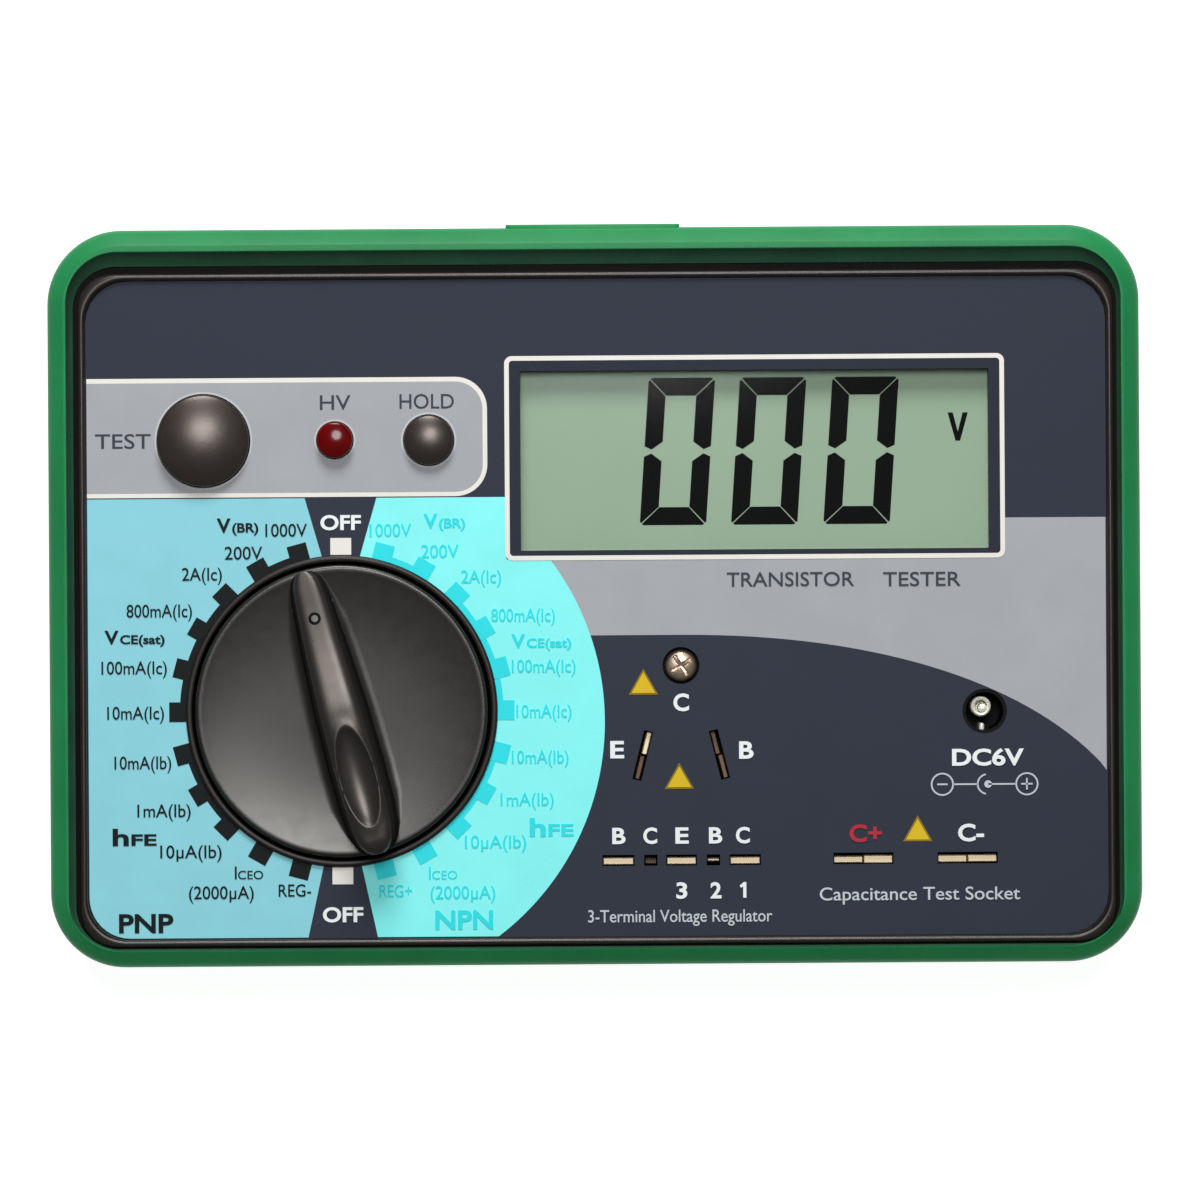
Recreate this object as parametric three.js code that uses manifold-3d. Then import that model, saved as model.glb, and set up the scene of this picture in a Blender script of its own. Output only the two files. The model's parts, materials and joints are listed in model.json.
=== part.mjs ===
// Component tester: a landscape instrument in a green protective jacket, lying on its back.
// Millimetres. +X to the right of the panel, +Y to its top edge, +Z out of the panel.
import * as THREE from "three";
import { mergeVertices } from "three/addons/utils/BufferGeometryUtils.js";
import Module from "manifold-3d";

const wasm = await Module();
wasm.setup();
const { Manifold, Mesh } = wasm;

// ---- driving dimensions ------------------------------------------------------------------------
const JACKET = { x: 94.2, y0: -63, y1: 64.2, r: 12.9, back: 1.5, rim: 44, gap: 0.3, tab: 0.6, tabHalf: 15 };
const CASE = { x: 92, y: 61.2, r: 10.2, wall: 2.2, back: 4.3, split: 24, face: 40.4, plate: 2.5 };
const PLATEAU = { x: 85.7, y: 55.7, r: 7.7, back: 1.8 }; // raised back, seen inside the jacket
const PANEL = { x0: -87.7, x1: 88.4, y0: -58.2, y1: 55.4, r: 7.2, sheet: 0.4, ridge: 41.5 };
const FLOOR = CASE.back + CASE.wall; // inner face of the back
const PLATE = CASE.face - CASE.plate; // inner face of the front
const BOARD = { top: 28, thick: 1.6, x: 87, y: 56.5 };

const KNOB = { x: -43.8, y: -19, disc: 25.3, hole: 26, ring: 26.7, places: 24, turned: 15, top: 50 };
const TEST = { x: -67.4, y: 27.8, r: 7.9, top: 44, edge: 41.9 };
const HOLD = { x: -28.5, y: 27.7, r: 4.3, top: 43.2, edge: 41.7 };
const LAMP = { x: -44.8, y: 27.8, r: 3.1, top: 43.4 };
const BUTTON_GAP = 0.4;

const DISPLAY = { x0: -12.7, x1: 68.2, y0: 8.5, y1: 39.5 };
const SCREW_SITE = { x: 14.8, y: -11.5, head: 2.8 };
const EMITTER = { x: 8.1, y: -27, long: 8.7, wide: 1.6, lean: -14 };
const BASE = { x: 21.35, y: -26.9, long: 8.7, wide: 1.6, lean: 14 };
const ROW = { y: -45.1, high: 1.9, x: [3.8, 9.4, 14.7, 20.2, 25.7], long: [5.5, 2.3, 5.3, 2.3, 5.4] };
const CAPS = { x: [46.1, 64.1], y: -45, long: 10.4, high: 2 };
const JACK = { x: 67.2, y: -19.7, hole: 3.85, bore: 3.3, barrel: 4.3, pin: 1.5 };
const SOCKET = { bottom: 28.2, top: 37.7, grip: 30.4 }; // the blocks that hold the contacts

const CELL = { r: 7.1, long: 50, y: -34, z: 11.9 };
const BAY = { x: 58, y0: -50, y1: -18, roof: 19.4, wall: 1.6 };
const COVER = { x0: -60.7, x1: 69, y0: -52.7, y1: -15.3, thick: 2.2, screwX: 65 };
const STAND = { x: 44, y0: -6, hinge: 45, z: 3.4, thick: 2.6, pin: 1.2 };
const FOOT = { x: 77, y: 36, r: 6, high: 2.9 };
const POST = { x: 80.5, y: 50, r: 4 }; // the four case screws

const SMOOTH = 40; // facets of a large round
const FINE = 14; // facets of a small round

// ---- shapes ------------------------------------------------------------------------------------
function solid(geometry) {
  const flat = geometry.index ? geometry.toNonIndexed() : geometry;
  const points = new THREE.BufferGeometry().setAttribute("position", flat.getAttribute("position"));
  const merged = mergeVertices(points, 1e-4);
  const body = { numProp: 3, vertProperties: merged.attributes.position.array };
  return new Manifold(new Mesh({ ...body, triVerts: new Uint32Array(merged.index.array) }));
}

// A closed outline of points round a rectangle with rounded corners.
function rounded(x0, x1, y0, y1, r, perCorner = 6) {
  const centres = [[x1 - r, y1 - r], [x0 + r, y1 - r], [x0 + r, y0 + r], [x1 - r, y0 + r]];
  const points = [];
  centres.forEach(([cx, cy], corner) => {
    for (let i = 0; i <= perCorner; i++) {
      const a = ((corner + i / perCorner) * Math.PI) / 2;
      points.push(new THREE.Vector2(cx + r * Math.cos(a), cy + r * Math.sin(a)));
    }
  });
  return points;
}

function round(r, n = SMOOTH, cx = 0, cy = 0) {
  const points = [];
  for (let i = 0; i < n; i++) {
    const a = (2 * Math.PI * i) / n;
    points.push(new THREE.Vector2(cx + r * Math.cos(a), cy + r * Math.sin(a)));
  }
  return points;
}

// A solid that passes through outlines of equal point count, each given with its height.
function loft(levels) {
  const n = levels[0][0].length;
  const at = ([points, z], i) => [points[i % n].x, points[i % n].y, z];
  const triangles = [];
  for (let k = 0; k + 1 < levels.length; k++)
    for (let i = 0; i < n; i++) {
      const [a, b] = [at(levels[k], i), at(levels[k], i + 1)];
      const [c, d] = [at(levels[k + 1], i + 1), at(levels[k + 1], i)];
      triangles.push(...a, ...b, ...c, ...a, ...c, ...d);
    }
  const [bottom, top] = [levels[0], levels.at(-1)];
  for (const [i, j, k] of THREE.ShapeUtils.triangulateShape(bottom[0], []))
    triangles.push(...at(bottom, k), ...at(bottom, j), ...at(bottom, i));
  for (const [i, j, k] of THREE.ShapeUtils.triangulateShape(top[0], []))
    triangles.push(...at(top, i), ...at(top, j), ...at(top, k));
  const geometry = new THREE.BufferGeometry();
  geometry.setAttribute("position", new THREE.Float32BufferAttribute(triangles, 3));
  return solid(geometry);
}

const prism = (outline, z0, z1) => loft([[outline, z0], [outline, z1]]);
const block = (x0, x1, y0, y1, z0, z1) =>
  solid(new THREE.BoxGeometry(x1 - x0, y1 - y0, z1 - z0)).translate([
    (x0 + x1) / 2,
    (y0 + y1) / 2,
    (z0 + z1) / 2,
  ]);
const disc = (x, y, r, z0, z1, n = FINE) => prism(round(r, n, x, y), z0, z1);
const bar = (site, long, wide, z0, z1) =>
  block(-wide / 2, wide / 2, -long / 2, long / 2, z0, z1)
    .rotate([0, 0, site.lean ?? 0])
    .translate([site.x, site.y, 0]);

// A solid of revolution about a vertical axis, from a profile of [radius, height].
function turned(profile, x = 0, y = 0, n = FINE) {
  const points = profile.map(([r, z]) => new THREE.Vector2(r, z));
  return solid(new THREE.LatheGeometry(points, n)).rotate([90, 0, 0]).translate([x, y, 0]);
}

// A coil spring along +Z from z = 0.
function coil(r, wire, high, turns) {
  class Helix extends THREE.Curve {
    getPoint(t, target = new THREE.Vector3()) {
      const a = 2 * Math.PI * turns * t;
      return target.set(r * Math.cos(a), r * Math.sin(a), wire + (high - 2 * wire) * t);
    }
  }
  const section = new THREE.Shape(round(wire, 5));
  const options = { steps: turns * 9, extrudePath: new Helix(), bevelEnabled: false };
  return solid(new THREE.ExtrudeGeometry(section, options));
}

const minus = (body, ...cuts) => cuts.reduce((left, cut) => left.subtract(cut), body);
const plus = (body, ...more) => more.reduce((whole, piece) => whole.add(piece), body);
const corners = (x, y) => [[-x, -y], [x, -y], [-x, y], [x, y]];

// ---- finished pieces ---------------------------------------------------------------------------
const tester = new THREE.Group();
tester.name = "component_tester";

// The jacket reaches a little further at its top side, where the tab is, than at its bottom side.
const MIDDLE_Y = (JACKET.y0 + JACKET.y1 + JACKET.tab) / 2;

function add(name, body, color, roughness = 0.5, metalness = 0) {
  const { vertProperties, triVerts, numProp } = body.translate([0, -MIDDLE_Y, 0]).getMesh();
  if (numProp !== 3) throw new Error(`${name} carries more than positions`);
  const geometry = new THREE.BufferGeometry();
  geometry.setAttribute("position", new THREE.BufferAttribute(vertProperties, 3));
  geometry.setIndex(new THREE.BufferAttribute(triVerts, 1));
  const material = new THREE.MeshStandardMaterial({ color, roughness, metalness });
  const mesh = new THREE.Mesh(geometry.toNonIndexed(), material);
  mesh.geometry.computeVertexNormals();
  mesh.name = name;
  tester.add(mesh);
}

const GREEN = 0x2f9a5c, BLACK = 0x16120f, DARK = 0x3d3a38, SHEET = 0x3b3f4b, BRASS = 0xd9b98a;
const STEEL = 0xb8bcc0, IVORY = 0xe6e2d6, BOARD_GREEN = 0x2c6b3f, RUBBER = 0x1a1a1a;

// ---- jacket and case ---------------------------------------------------------------------------
function holster() {
  const { x, y0, y1, r, back, rim, gap, tab, tabHalf } = JACKET;
  const ring = (inset) => rounded(-x + inset, x - inset, y0 + inset, y1 - inset, r - inset, 8);
  const outer = loft([
    [ring(1.4), back], [ring(0), back + 1.4], [ring(0), rim - 3], [ring(0.25), rim - 2.1],
    [ring(1), rim - 1.3], [ring(2.4), rim - 0.25], [ring(2.85), rim],
  ]);
  const pad = block(-tabHalf, tabHalf, y1 - 1, y1 + tab, back + 5, rim - 2.5);
  const inner = rounded(-CASE.x - gap, CASE.x + gap, -CASE.y - gap, CASE.y + gap, CASE.r + gap, 8);
  const mouth = loft([
    [rounded(-89.9, 90.4, -59.9, 58, 7.4, 8), CASE.face + 0.4],
    [rounded(-90.9, 90.9, -60.2, 60.4, 8.9, 8), rim + 0.01],
  ]);
  const behind = rounded(-86, 86, -56, 56, 8, 8);
  add(
    "holster",
    minus(plus(outer, pad), prism(inner, back + 2.5, CASE.face + 0.5), mouth, prism(behind, 0, back + 3)),
    GREEN,
    0.55,
  );
}

const holeList = [
  [TEST.x, TEST.y, TEST.r + BUTTON_GAP],
  [HOLD.x, HOLD.y, HOLD.r + BUTTON_GAP],
  [LAMP.x, LAMP.y, LAMP.r + 0.25],
  [SCREW_SITE.x, SCREW_SITE.y, SCREW_SITE.head + 0.4],
];
const rowSites = ROW.x.map((x, i) => ({ x, y: ROW.y, long: ROW.long[i], wide: ROW.high, lean: 90 }));
const capSites = CAPS.x.map((x) => ({ x, y: CAPS.y, long: CAPS.long, wide: CAPS.high, lean: 90 }));
const slotList = [EMITTER, BASE, ...rowSites, ...capSites];

// Everything that opens the front: display, buttons, lamp, screw and slots.
function frontCuts(z0, z1, displayMargin) {
  const m = displayMargin;
  return [
    block(DISPLAY.x0 + m, DISPLAY.x1 - m, DISPLAY.y0 + m, DISPLAY.y1 - m, z0, z1),
    ...holeList.map(([x, y, r]) => disc(x, y, r, z0, z1, 32)),
    ...slotList.map((site) => bar(site, site.long, site.wide, z0, z1)),
  ];
}

function detentRing() {
  const notch = 2.1, inner = 28.4, outer = 31.4;
  const wall = disc(0, 0, outer, 29.6, PLATE + 0.1, SMOOTH);
  const cuts = [disc(0, 0, inner, 29, PLATE + 0.2, SMOOTH)];
  for (let i = 0; i < KNOB.places; i++) {
    const a = (2 * Math.PI * i) / KNOB.places;
    cuts.push(disc((inner - 0.5) * Math.cos(a), (inner - 0.5) * Math.sin(a), notch, 29, 35.4, 8));
  }
  return minus(wall, ...cuts).translate([KNOB.x, KNOB.y, 0]);
}

function frontCase() {
  const { x, y, r, wall, split, face } = CASE;
  const { x0, x1, y0, y1, ridge } = PANEL;
  const shell = prism(rounded(-x, x, -y, y, r), split, face);
  const inside = prism(rounded(-x + wall, x - wall, -y + wall, y - wall, r - wall), split - 1, PLATE);
  const grow = (by) => rounded(x0 - by, x1 + by, y0 - by, y1 + by, PANEL.r + by, 8);
  const ridgeOuter = loft([[grow(1.2), face - 0.2], [grow(1.1), ridge - 0.35], [grow(0.75), ridge]]);
  const ridgeInner = loft([[grow(0.12), face], [grow(0.35), ridge + 0.1]]);
  const ringAt = (radius, z0, z1) => disc(KNOB.x, KNOB.y, radius, z0, z1, SMOOTH);
  const posts = corners(POST.x, POST.y).map(([px, py]) => disc(px, py, POST.r, split, PLATE + 0.1));
  let body = minus(shell, inside);
  body = plus(body, minus(ridgeOuter, ridgeInner), ringAt(KNOB.ring, face - 0.1, face + 0.9));
  body = plus(body, detentRing(), ...posts);
  body = minus(
    body,
    ringAt(KNOB.hole, PLATE - 1, face + 2),
    disc(JACK.x, JACK.y, JACK.barrel + 0.3, PLATE - 1, face + 1, 32),
    ...corners(POST.x, POST.y).map(([px, py]) => disc(px, py, 1.6, split - 1, 36)),
    ...frontCuts(PLATE - 1, face + 1, 0),
  );
  add("front_case", body, BLACK, 0.35);
}

function panelOverlay() {
  const { x0, x1, y0, y1, r, sheet } = PANEL;
  const z0 = CASE.face, z1 = z0 + sheet;
  const body = minus(
    prism(rounded(x0, x1, y0, y1, r), z0, z1),
    disc(KNOB.x, KNOB.y, KNOB.ring + 0.2, z0 - 1, z1 + 1, SMOOTH),
    disc(JACK.x, JACK.y, JACK.hole, z0 - 1, z1 + 1, 32),
    ...frontCuts(z0 - 1, z1 + 1, 0),
  );
  add("panel_overlay", body, SHEET, 0.45);
}

function rearCase() {
  const { x, y, r, wall, back, split } = CASE;
  const standY1 = STAND.hinge + 3;
  const shell = prism(rounded(-x, x, -y, y, r), back, split - 0.05);
  const raised = rounded(-PLATEAU.x, PLATEAU.x, -PLATEAU.y, PLATEAU.y, PLATEAU.r);
  const plateau = prism(raised, PLATEAU.back, back + 0.1);
  const inside = prism(rounded(-x + wall, x - wall, -y + wall, y - wall, r - wall), FLOOR, split + 1);
  const bayX = BAY.x + BAY.wall;
  const bay = block(-bayX, bayX, BAY.y0 - BAY.wall, BAY.y1 + BAY.wall, FLOOR - 0.1, BAY.roof + BAY.wall);
  const tubes = corners(POST.x, POST.y).map(([px, py]) => disc(px, py, 4.6, FLOOR - 0.1, split - 0.05));
  const coverPost = disc(COVER.screwX, CELL.y, 3.6, FLOOR - 0.1, 16);
  const seat = rounded(COVER.x0 - 0.3, COVER.x1 + 0.3, COVER.y0 - 0.3, COVER.y1 + 0.3, 2.3, 3);
  const pins = [-1, 1].map((side) => {
    const hole = disc(0, 0, STAND.pin + 0.4, -2.2, 2.2, 12).rotate([0, 90, 0]);
    return hole.translate([side * (STAND.x + 1.8), STAND.hinge, STAND.z]);
  });
  const body = minus(
    plus(minus(plus(shell, plateau), inside), bay, coverPost, ...tubes),
    block(-BAY.x, BAY.x, BAY.y0, BAY.y1, 0, BAY.roof),
    prism(seat, 0, PLATEAU.back + COVER.thick + 0.15),
    disc(COVER.screwX, CELL.y, 1.6, 0, 14.5),
    block(-STAND.x - 0.5, STAND.x + 0.5, STAND.y0 - 0.5, standY1, 0, 5.1),
    block(-9, 9, STAND.y0 - 6, STAND.y0, 0, 5.1),
    ...pins,
    ...corners(FOOT.x, FOOT.y).map(([px, py]) => disc(px, py, FOOT.r + 0.2, 0, FOOT.high + 0.1, 24)),
    ...corners(POST.x, POST.y).map(([px, py]) => disc(px, py, 3.4, 0, 12)),
    ...corners(POST.x, POST.y).map(([px, py]) => disc(px, py, 1.9, 11, split + 1)),
  );
  add("rear_case", body, BLACK, 0.5);
}

function caseScrews() {
  corners(POST.x, POST.y).forEach(([x, y], i) => {
    const body = turned([[0, 9.6], [2.6, 9.6], [3, 10], [3, 11.9], [1.4, 11.9], [1.4, 34], [0, 35]], x, y);
    const cross = [0, 90].map((turn) => bar({ x, y, lean: turn }, 3.6, 0.8, 9, 10.8));
    add(`case_screw_${i + 1}`, minus(body, ...cross), STEEL, 0.35, 1);
  });
}

function rubberFeet() {
  corners(FOOT.x, FOOT.y).forEach(([x, y], i) => {
    const profile = [[0, 0], [FOOT.r - 0.8, 0], [FOOT.r, 0.8], [FOOT.r, FOOT.high], [0, FOOT.high]];
    add(`rubber_foot_${i + 1}`, turned(profile, x, y, 24), RUBBER, 0.9);
  });
}

// ---- back: stand, cover and cells --------------------------------------------------------------
function tiltStand() {
  const { x, y0, hinge, z, thick, pin } = STAND;
  const [z0, z1] = [z - thick / 2, z + thick / 2];
  const plate = prism(rounded(-x, x, y0, hinge, 1.2, 3), z0, z1);
  const recess = prism(rounded(-x + 12, x - 12, y0 + 11, hinge - 10, 4, 4), z0 - 1, z0 + 0.9);
  const knuckle = disc(0, 0, thick / 2, -x, x, 16).rotate([0, 90, 0]).translate([0, hinge, z]);
  const axle = disc(0, 0, pin, -x - 3, x + 3, 16).rotate([0, 90, 0]).translate([0, hinge, z]);
  const grips = [-3, 0, 3].map((dx) => block(dx - 0.6, dx + 0.6, y0 + 2.5, y0 + 7.5, z0 - 1, z0 + 0.5));
  add("tilt_stand", minus(plus(minus(plate, recess), knuckle, axle), ...grips), BLACK, 0.5);
}

function batteryCover() {
  const { x0, x1, y0, y1, thick, screwX } = COVER;
  const z0 = PLATEAU.back, z1 = z0 + thick;
  const plate = prism(rounded(x0, x1, y0, y1, 2, 3), z0, z1);
  const ribs = [0, 1, 2, 3].map((i) => block(-52 + 3 * i, -50.8 + 3 * i, -42, -26, z0 - 1, z0 + 0.5));
  const hole = [disc(screwX, CELL.y, 1.7, z0 - 1, z1 + 1), disc(screwX, CELL.y, 3.1, z0 - 1, z0 + 1.3)];
  add("battery_cover", minus(plate, ...ribs, ...hole), BLACK, 0.5);

  const screw = turned(
    [[0, z0 + 0.1], [2.7, z0 + 0.1], [2.7, z0 + 1.2], [1.3, z0 + 1.2], [1.3, 12.5], [0, 13.5]],
    screwX,
    CELL.y,
  );
  const cross = [0, 90].map((turn) => bar({ x: screwX, y: CELL.y, lean: turn }, 3.2, 0.7, 0, z0 + 0.7));
  add("battery_cover_screw", minus(screw, ...cross), STEEL, 0.35, 1);
}

// Four cells in two rows, joined at the left; the rows run opposite ways.
function cells() {
  const rows = [CELL.y - 7.8, CELL.y + 7.8];
  const profile = [
    [0, 0], [6.6, 0], [CELL.r, 0.5], [CELL.r, 47.6], [6.6, 48.2], [2.7, 48.2], [2.7, CELL.long], [0, CELL.long],
  ];
  let index = 0;
  rows.forEach((y, row) => {
    for (const end of [0, 1]) {
      const along = row === 0 ? 90 : -90;
      const start = row === 0 ? -52 + end * (CELL.long + 0.4) : 52 - end * (CELL.long + 0.4);
      const body = turned(profile, 0, 0, 18).rotate([0, along, 0]).translate([start, y, CELL.z]);
      index += 1;
      add(`battery_${index}`, body, index % 2 ? 0x9c7a3a : 0x8f7036, 0.35, 0.4);
    }
  });
}

function batteryContacts() {
  const rows = [CELL.y - 7.8, CELL.y + 7.8];
  const pad = (x, y0, y1) => block(x - 0.25, x + 0.25, y0, y1, CELL.z - 5, CELL.z + 5);
  const sideways = (x, y, high) =>
    coil(3.2, 0.4, high, 3).rotate([0, 90, 0]).translate([x, y, CELL.z]);
  const link = plus(pad(-57.4, rows[0] - 6, rows[1] + 6), sideways(-57.4, rows[0], 5.2));
  add("battery_link", link, STEEL, 0.35, 1);
  add("battery_contact_positive", pad(57.4, rows[0] - 6, rows[0] + 6), STEEL, 0.35, 1);
  const spring = sideways(0, 0, 5.2).rotate([0, 0, 180]).translate([57.4, rows[1], 0]);
  const negative = plus(pad(57.4, rows[1] - 6, rows[1] + 6), spring);
  add("battery_contact_negative", negative, STEEL, 0.35, 1);
}

// ---- display -----------------------------------------------------------------------------------
function display() {
  const { x0, x1, y0, y1 } = DISPLAY;
  add("lcd_window", block(x0 + 0.3, x1 - 0.3, y0 + 0.3, y1 - 0.3, 38.3, 40.2), 0xd5dcd8, 0.1);
  const glass = { x0: x0 - 2, x1: x1 + 2, y0: y0 - 2.5, y1: y1 + 2 };
  add("lcd_glass", block(glass.x0, glass.x1, glass.y0, glass.y1, 35.2, 37.4), 0xa5b89c, 0.25);
  const stripY = y0 - 1;
  const frame = minus(
    block(x0 - 4.5, x1 + 4.5, y0 - 5, y1 + 4.5, BOARD.top + 0.1, PLATE - 0.2),
    block(glass.x0 - 0.3, glass.x1 + 0.3, glass.y0 - 0.3, glass.y1 + 0.3, 35, PLATE + 1),
    block(x0 + 1, x1 - 1, y0 + 2, y1 - 1, BOARD.top - 1, 36),
    block(x0 + 3, x1 - 3, stripY - 1.3, stripY + 1.3, BOARD.top - 1, 36),
  );
  add("lcd_holder", frame, IVORY, 0.6);
  add("lcd_rubber_strip", block(x0 + 3.3, x1 - 3.3, stripY - 1, stripY + 1, BOARD.top, 35.2), 0xb98aa0, 0.8);
}

// ---- rotary selector ---------------------------------------------------------------------------
// Outline of the bar grip, pointer end at +Y, half widths given along its length.
function gripOutline(inset) {
  const stations = [
    [24.9, 1.7], [24.2, 2.7], [16, 3.6], [6, 4.25], [-6, 4.7],
    [-15, 4.75], [-21, 4.5], [-24.2, 3.4], [-25.1, 1.9],
  ];
  const shrink = 1 - inset / 25;
  const right = stations.map(([y, half]) => new THREE.Vector2(Math.max(half - inset, 0.4), y * shrink));
  const left = right.map(({ x, y }) => new THREE.Vector2(-x, y)).reverse();
  return [...right.reverse(), ...left.reverse()];
}

function selector() {
  const { x, y, disc: r, top, turned: angle } = KNOB;
  const profile = [
    [0, 36], [27.5, 36], [27.5, 37.5], [r, 37.5], [r, 41.5], [r - 0.9, 42.1], [14, 42.8], [0, 43],
  ];
  const hollow = turned([[6, 35], [23.5, 35], [23.5, 40], [6, 40], [6, 35]], 0, 0, SMOOTH);
  const hub = disc(0, 0, 4, 31.9, 36.1);
  const levels = [[-0.9, 41.5], [-0.3, 44.5], [0.15, 48.9], [0.75, top]];
  const handle = loft(levels.map(([inset, z]) => [gripOutline(inset), z]));
  const fall = block(-9, 9, 0, 34, 0, 9).rotate([-9, 0, 0]).translate([0, 1.5, top]);
  const grip = minus(handle, fall);
  const egg = solid(new THREE.SphereGeometry(1, 24, 12)).scale([3.2, 9, 1.6]);
  const dish = egg.translate([0, -11.5, top + 0.2]);
  const flat = minus(turned(profile, 0, 0, SMOOTH), hollow);
  const clip = disc(0, 0, r, 30, top + 5, SMOOTH);
  const body = minus(plus(flat, hub, grip.intersect(clip)), dish, disc(0, 0, 1.5, 30, 38));
  add("selector_knob", body.rotate([0, 0, angle]).translate([x, y, 0]), DARK, 0.45);
}

function selectorInside() {
  const { x, y, turned: angle } = KNOB;
  const place = (body) => body.rotate([0, 0, angle]).translate([x, y, 0]);
  const pegs = [90, 210, 330].map((a) =>
    disc(12.2, 0, 0.9, 28.9, 30.2, 10).rotate([0, 0, a]));
  const pocket = (a) =>
    disc(0, 0, 1.9, 17, 29, 12).rotate([0, 90, 0]).rotate([0, 0, a]).translate([0, 0, 32.8]);
  const rotor = minus(
    plus(disc(0, 0, 27.6, 30, 35.6, SMOOTH), ...pegs),
    disc(0, 0, 4.3, 29, 37),
    disc(0, 0, 6.4, 29, 31.8),
    pocket(0),
    pocket(180),
  );
  add("selector_rotor", place(rotor), IVORY, 0.6);

  const screw = turned([[0, 30.1], [5.9, 30.1], [5.9, 31.5], [1.2, 31.5], [1.2, 37], [0, 37.4]]);
  const cross = [0, 90].map((turn) => bar({ x: 0, y: 0, lean: turn }, 6, 1, 29, 30.9));
  add("rotor_screw", place(minus(screw, ...cross)), STEEL, 0.35, 1);

  const ring = minus(disc(0, 0, 14.5, 29.3, 29.7, 32), disc(0, 0, 10, 29, 30, 32));
  const reach = plus(block(13.8, 24, -1, 1, 29.3, 29.7), block(22.5, 24, -1, 1, 28.4, 29.5));
  const arm = (a) => reach.rotate([0, 0, a]);
  const holes = [90, 210, 330].map((a) => disc(12.2, 0, 1.2, 29, 30, 10).rotate([0, 0, a]));
  add("rotor_contact", place(minus(plus(ring, ...[30, 150, 270].map(arm)), ...holes)), BRASS, 0.3, 1);

  [0, 180].forEach((a, i) => {
    const ball = solid(new THREE.SphereGeometry(1.6, 14, 10)).translate([27.9, 0, 32.8]);
    add(`detent_ball_${i + 1}`, place(ball.rotate([0, 0, a])), STEEL, 0.2, 1);
    const spring = coil(1.15, 0.25, 8.4, 5).rotate([0, 90, 0]).translate([17.5, 0, 32.8]);
    add(`detent_spring_${i + 1}`, place(spring.rotate([0, 0, a])), STEEL, 0.3, 1);
  });
}

// ---- buttons and lamp --------------------------------------------------------------------------
function button(name, { x, y, r, top, edge }, color) {
  const profile = [
    [0, 33.4], [1.6, 33.4], [1.6, 35.8], [r + 1.2, 35.8], [r + 1.2, 37.2], [r, 37.2],
    [r, edge], [r * 0.9, edge + (top - edge) * 0.5], [r * 0.55, edge + (top - edge) * 0.9], [0, top],
  ];
  add(`${name}_button`, turned(profile, x, y, r > 5 ? 32 : 20), color, 0.45);
  const spring = coil(2.5, 0.25, 4.2, 4).translate([x, y, 31.5]);
  add(`${name}_spring`, spring, STEEL, 0.35, 1);
  const base = block(x - 4.5, x + 4.5, y - 4.5, y + 4.5, BOARD.top, 31.4);
  add(`${name}_switch`, plus(base, disc(x, y, 1.5, 31.3, 32)), 0x26241f, 0.5);
}

function lamp() {
  const { x, y, r, top } = LAMP;
  const profile = [
    [0, 33], [3.6, 33], [3.6, 34], [r, 34],
    [r, top - r], [r * 0.87, top - r * 0.5], [r * 0.5, top - r * 0.13], [0, top],
  ];
  const leg = (middle) => block(middle - 0.25, middle + 0.25, y - 0.25, y + 0.25, BOARD.top, 33.1);
  const legs = [x - 1.27, x + 1.27].map(leg);
  add("test_lamp", plus(turned(profile, x, y, 18), ...legs), 0x9c0808, 0.15);
}

// ---- sockets -----------------------------------------------------------------------------------
// A sprung leaf that stands in a slot and leans over to one edge at its mouth. side is the edge, +1 or
// -1 across the slot, and foot is how far from the middle it stands. A split leaf has two fingers.
function leaf(site, side, foot, split) {
  const thick = 0.35, edge = site.wide / 2 - 0.12, low = SOCKET.grip + 0.2, long = site.long - 0.3;
  const across = [foot, foot + thick, foot + thick, edge, edge, foot];
  const heights = [low, low, 38.8, 39.5, 39.9, 39.15];
  const section = across.map((v, i) => new THREE.Vector2(side * v, heights[i]));
  const strip = prism(side > 0 ? section : section.reverse(), -long / 2, long / 2).rotate([90, 0, 0]);
  const gap = block(-2, 2, -0.25, 0.25, 33, 41);
  return minus(strip, ...(split ? [gap] : []))
    .rotate([0, 0, site.lean])
    .translate([site.x, site.y, 0]);
}

function socketBlock(name, x0, x1, y0, y1, sites, extra = []) {
  const cuts = sites.map((s) => bar(s, s.long + 0.6, s.wide + 0.8, SOCKET.grip, SOCKET.top + 1));
  const body = minus(block(x0, x1, y0, y1, SOCKET.bottom, SOCKET.top), ...cuts, ...extra);
  add(name, body, BLACK, 0.6);
}

function sockets() {
  const { x, y, head } = SCREW_SITE;
  socketBlock("transistor_socket", 3, 27, -33, -6.5, [EMITTER, BASE], [disc(x, y, 1.8, 30, 40)]);
  const profile = [[0, 31], [1.5, 31.6], [1.5, 37.8], [head, 37.8], [head, 38.8], [head - 0.5, 39.6]];
  const screw = turned([...profile, [head - 1.3, 40.05], [0, 40.3]], x, y, 24);
  const cross = [33, 123].map((turn) => bar({ x, y, lean: turn }, 3.9, 0.65, 38.6, 41));
  add("collector_screw", minus(screw, ...cross), STEEL, 0.35, 1);
  add("emitter_contact", leaf(EMITTER, 1, -0.05, true), BRASS, 0.35, 1);
  add("base_contact", leaf(BASE, 1, 0.1, true), BRASS, 0.35, 1);

  socketBlock("row_socket", 0, 29.5, -49, -41.2, rowSites);
  rowSites.forEach((s, i) => add(`row_contact_${i + 1}`, leaf(s, -1, -0.35, false), BRASS, 0.35, 1));

  socketBlock("capacitor_socket", 39, 71.3, -49, -41, capSites);
  add("capacitor_contact_plus", leaf(capSites[0], -1, -0.45, true), BRASS, 0.35, 1);
  add("capacitor_contact_minus", leaf(capSites[1], -1, -0.45, true), BRASS, 0.35, 1);
}

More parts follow.
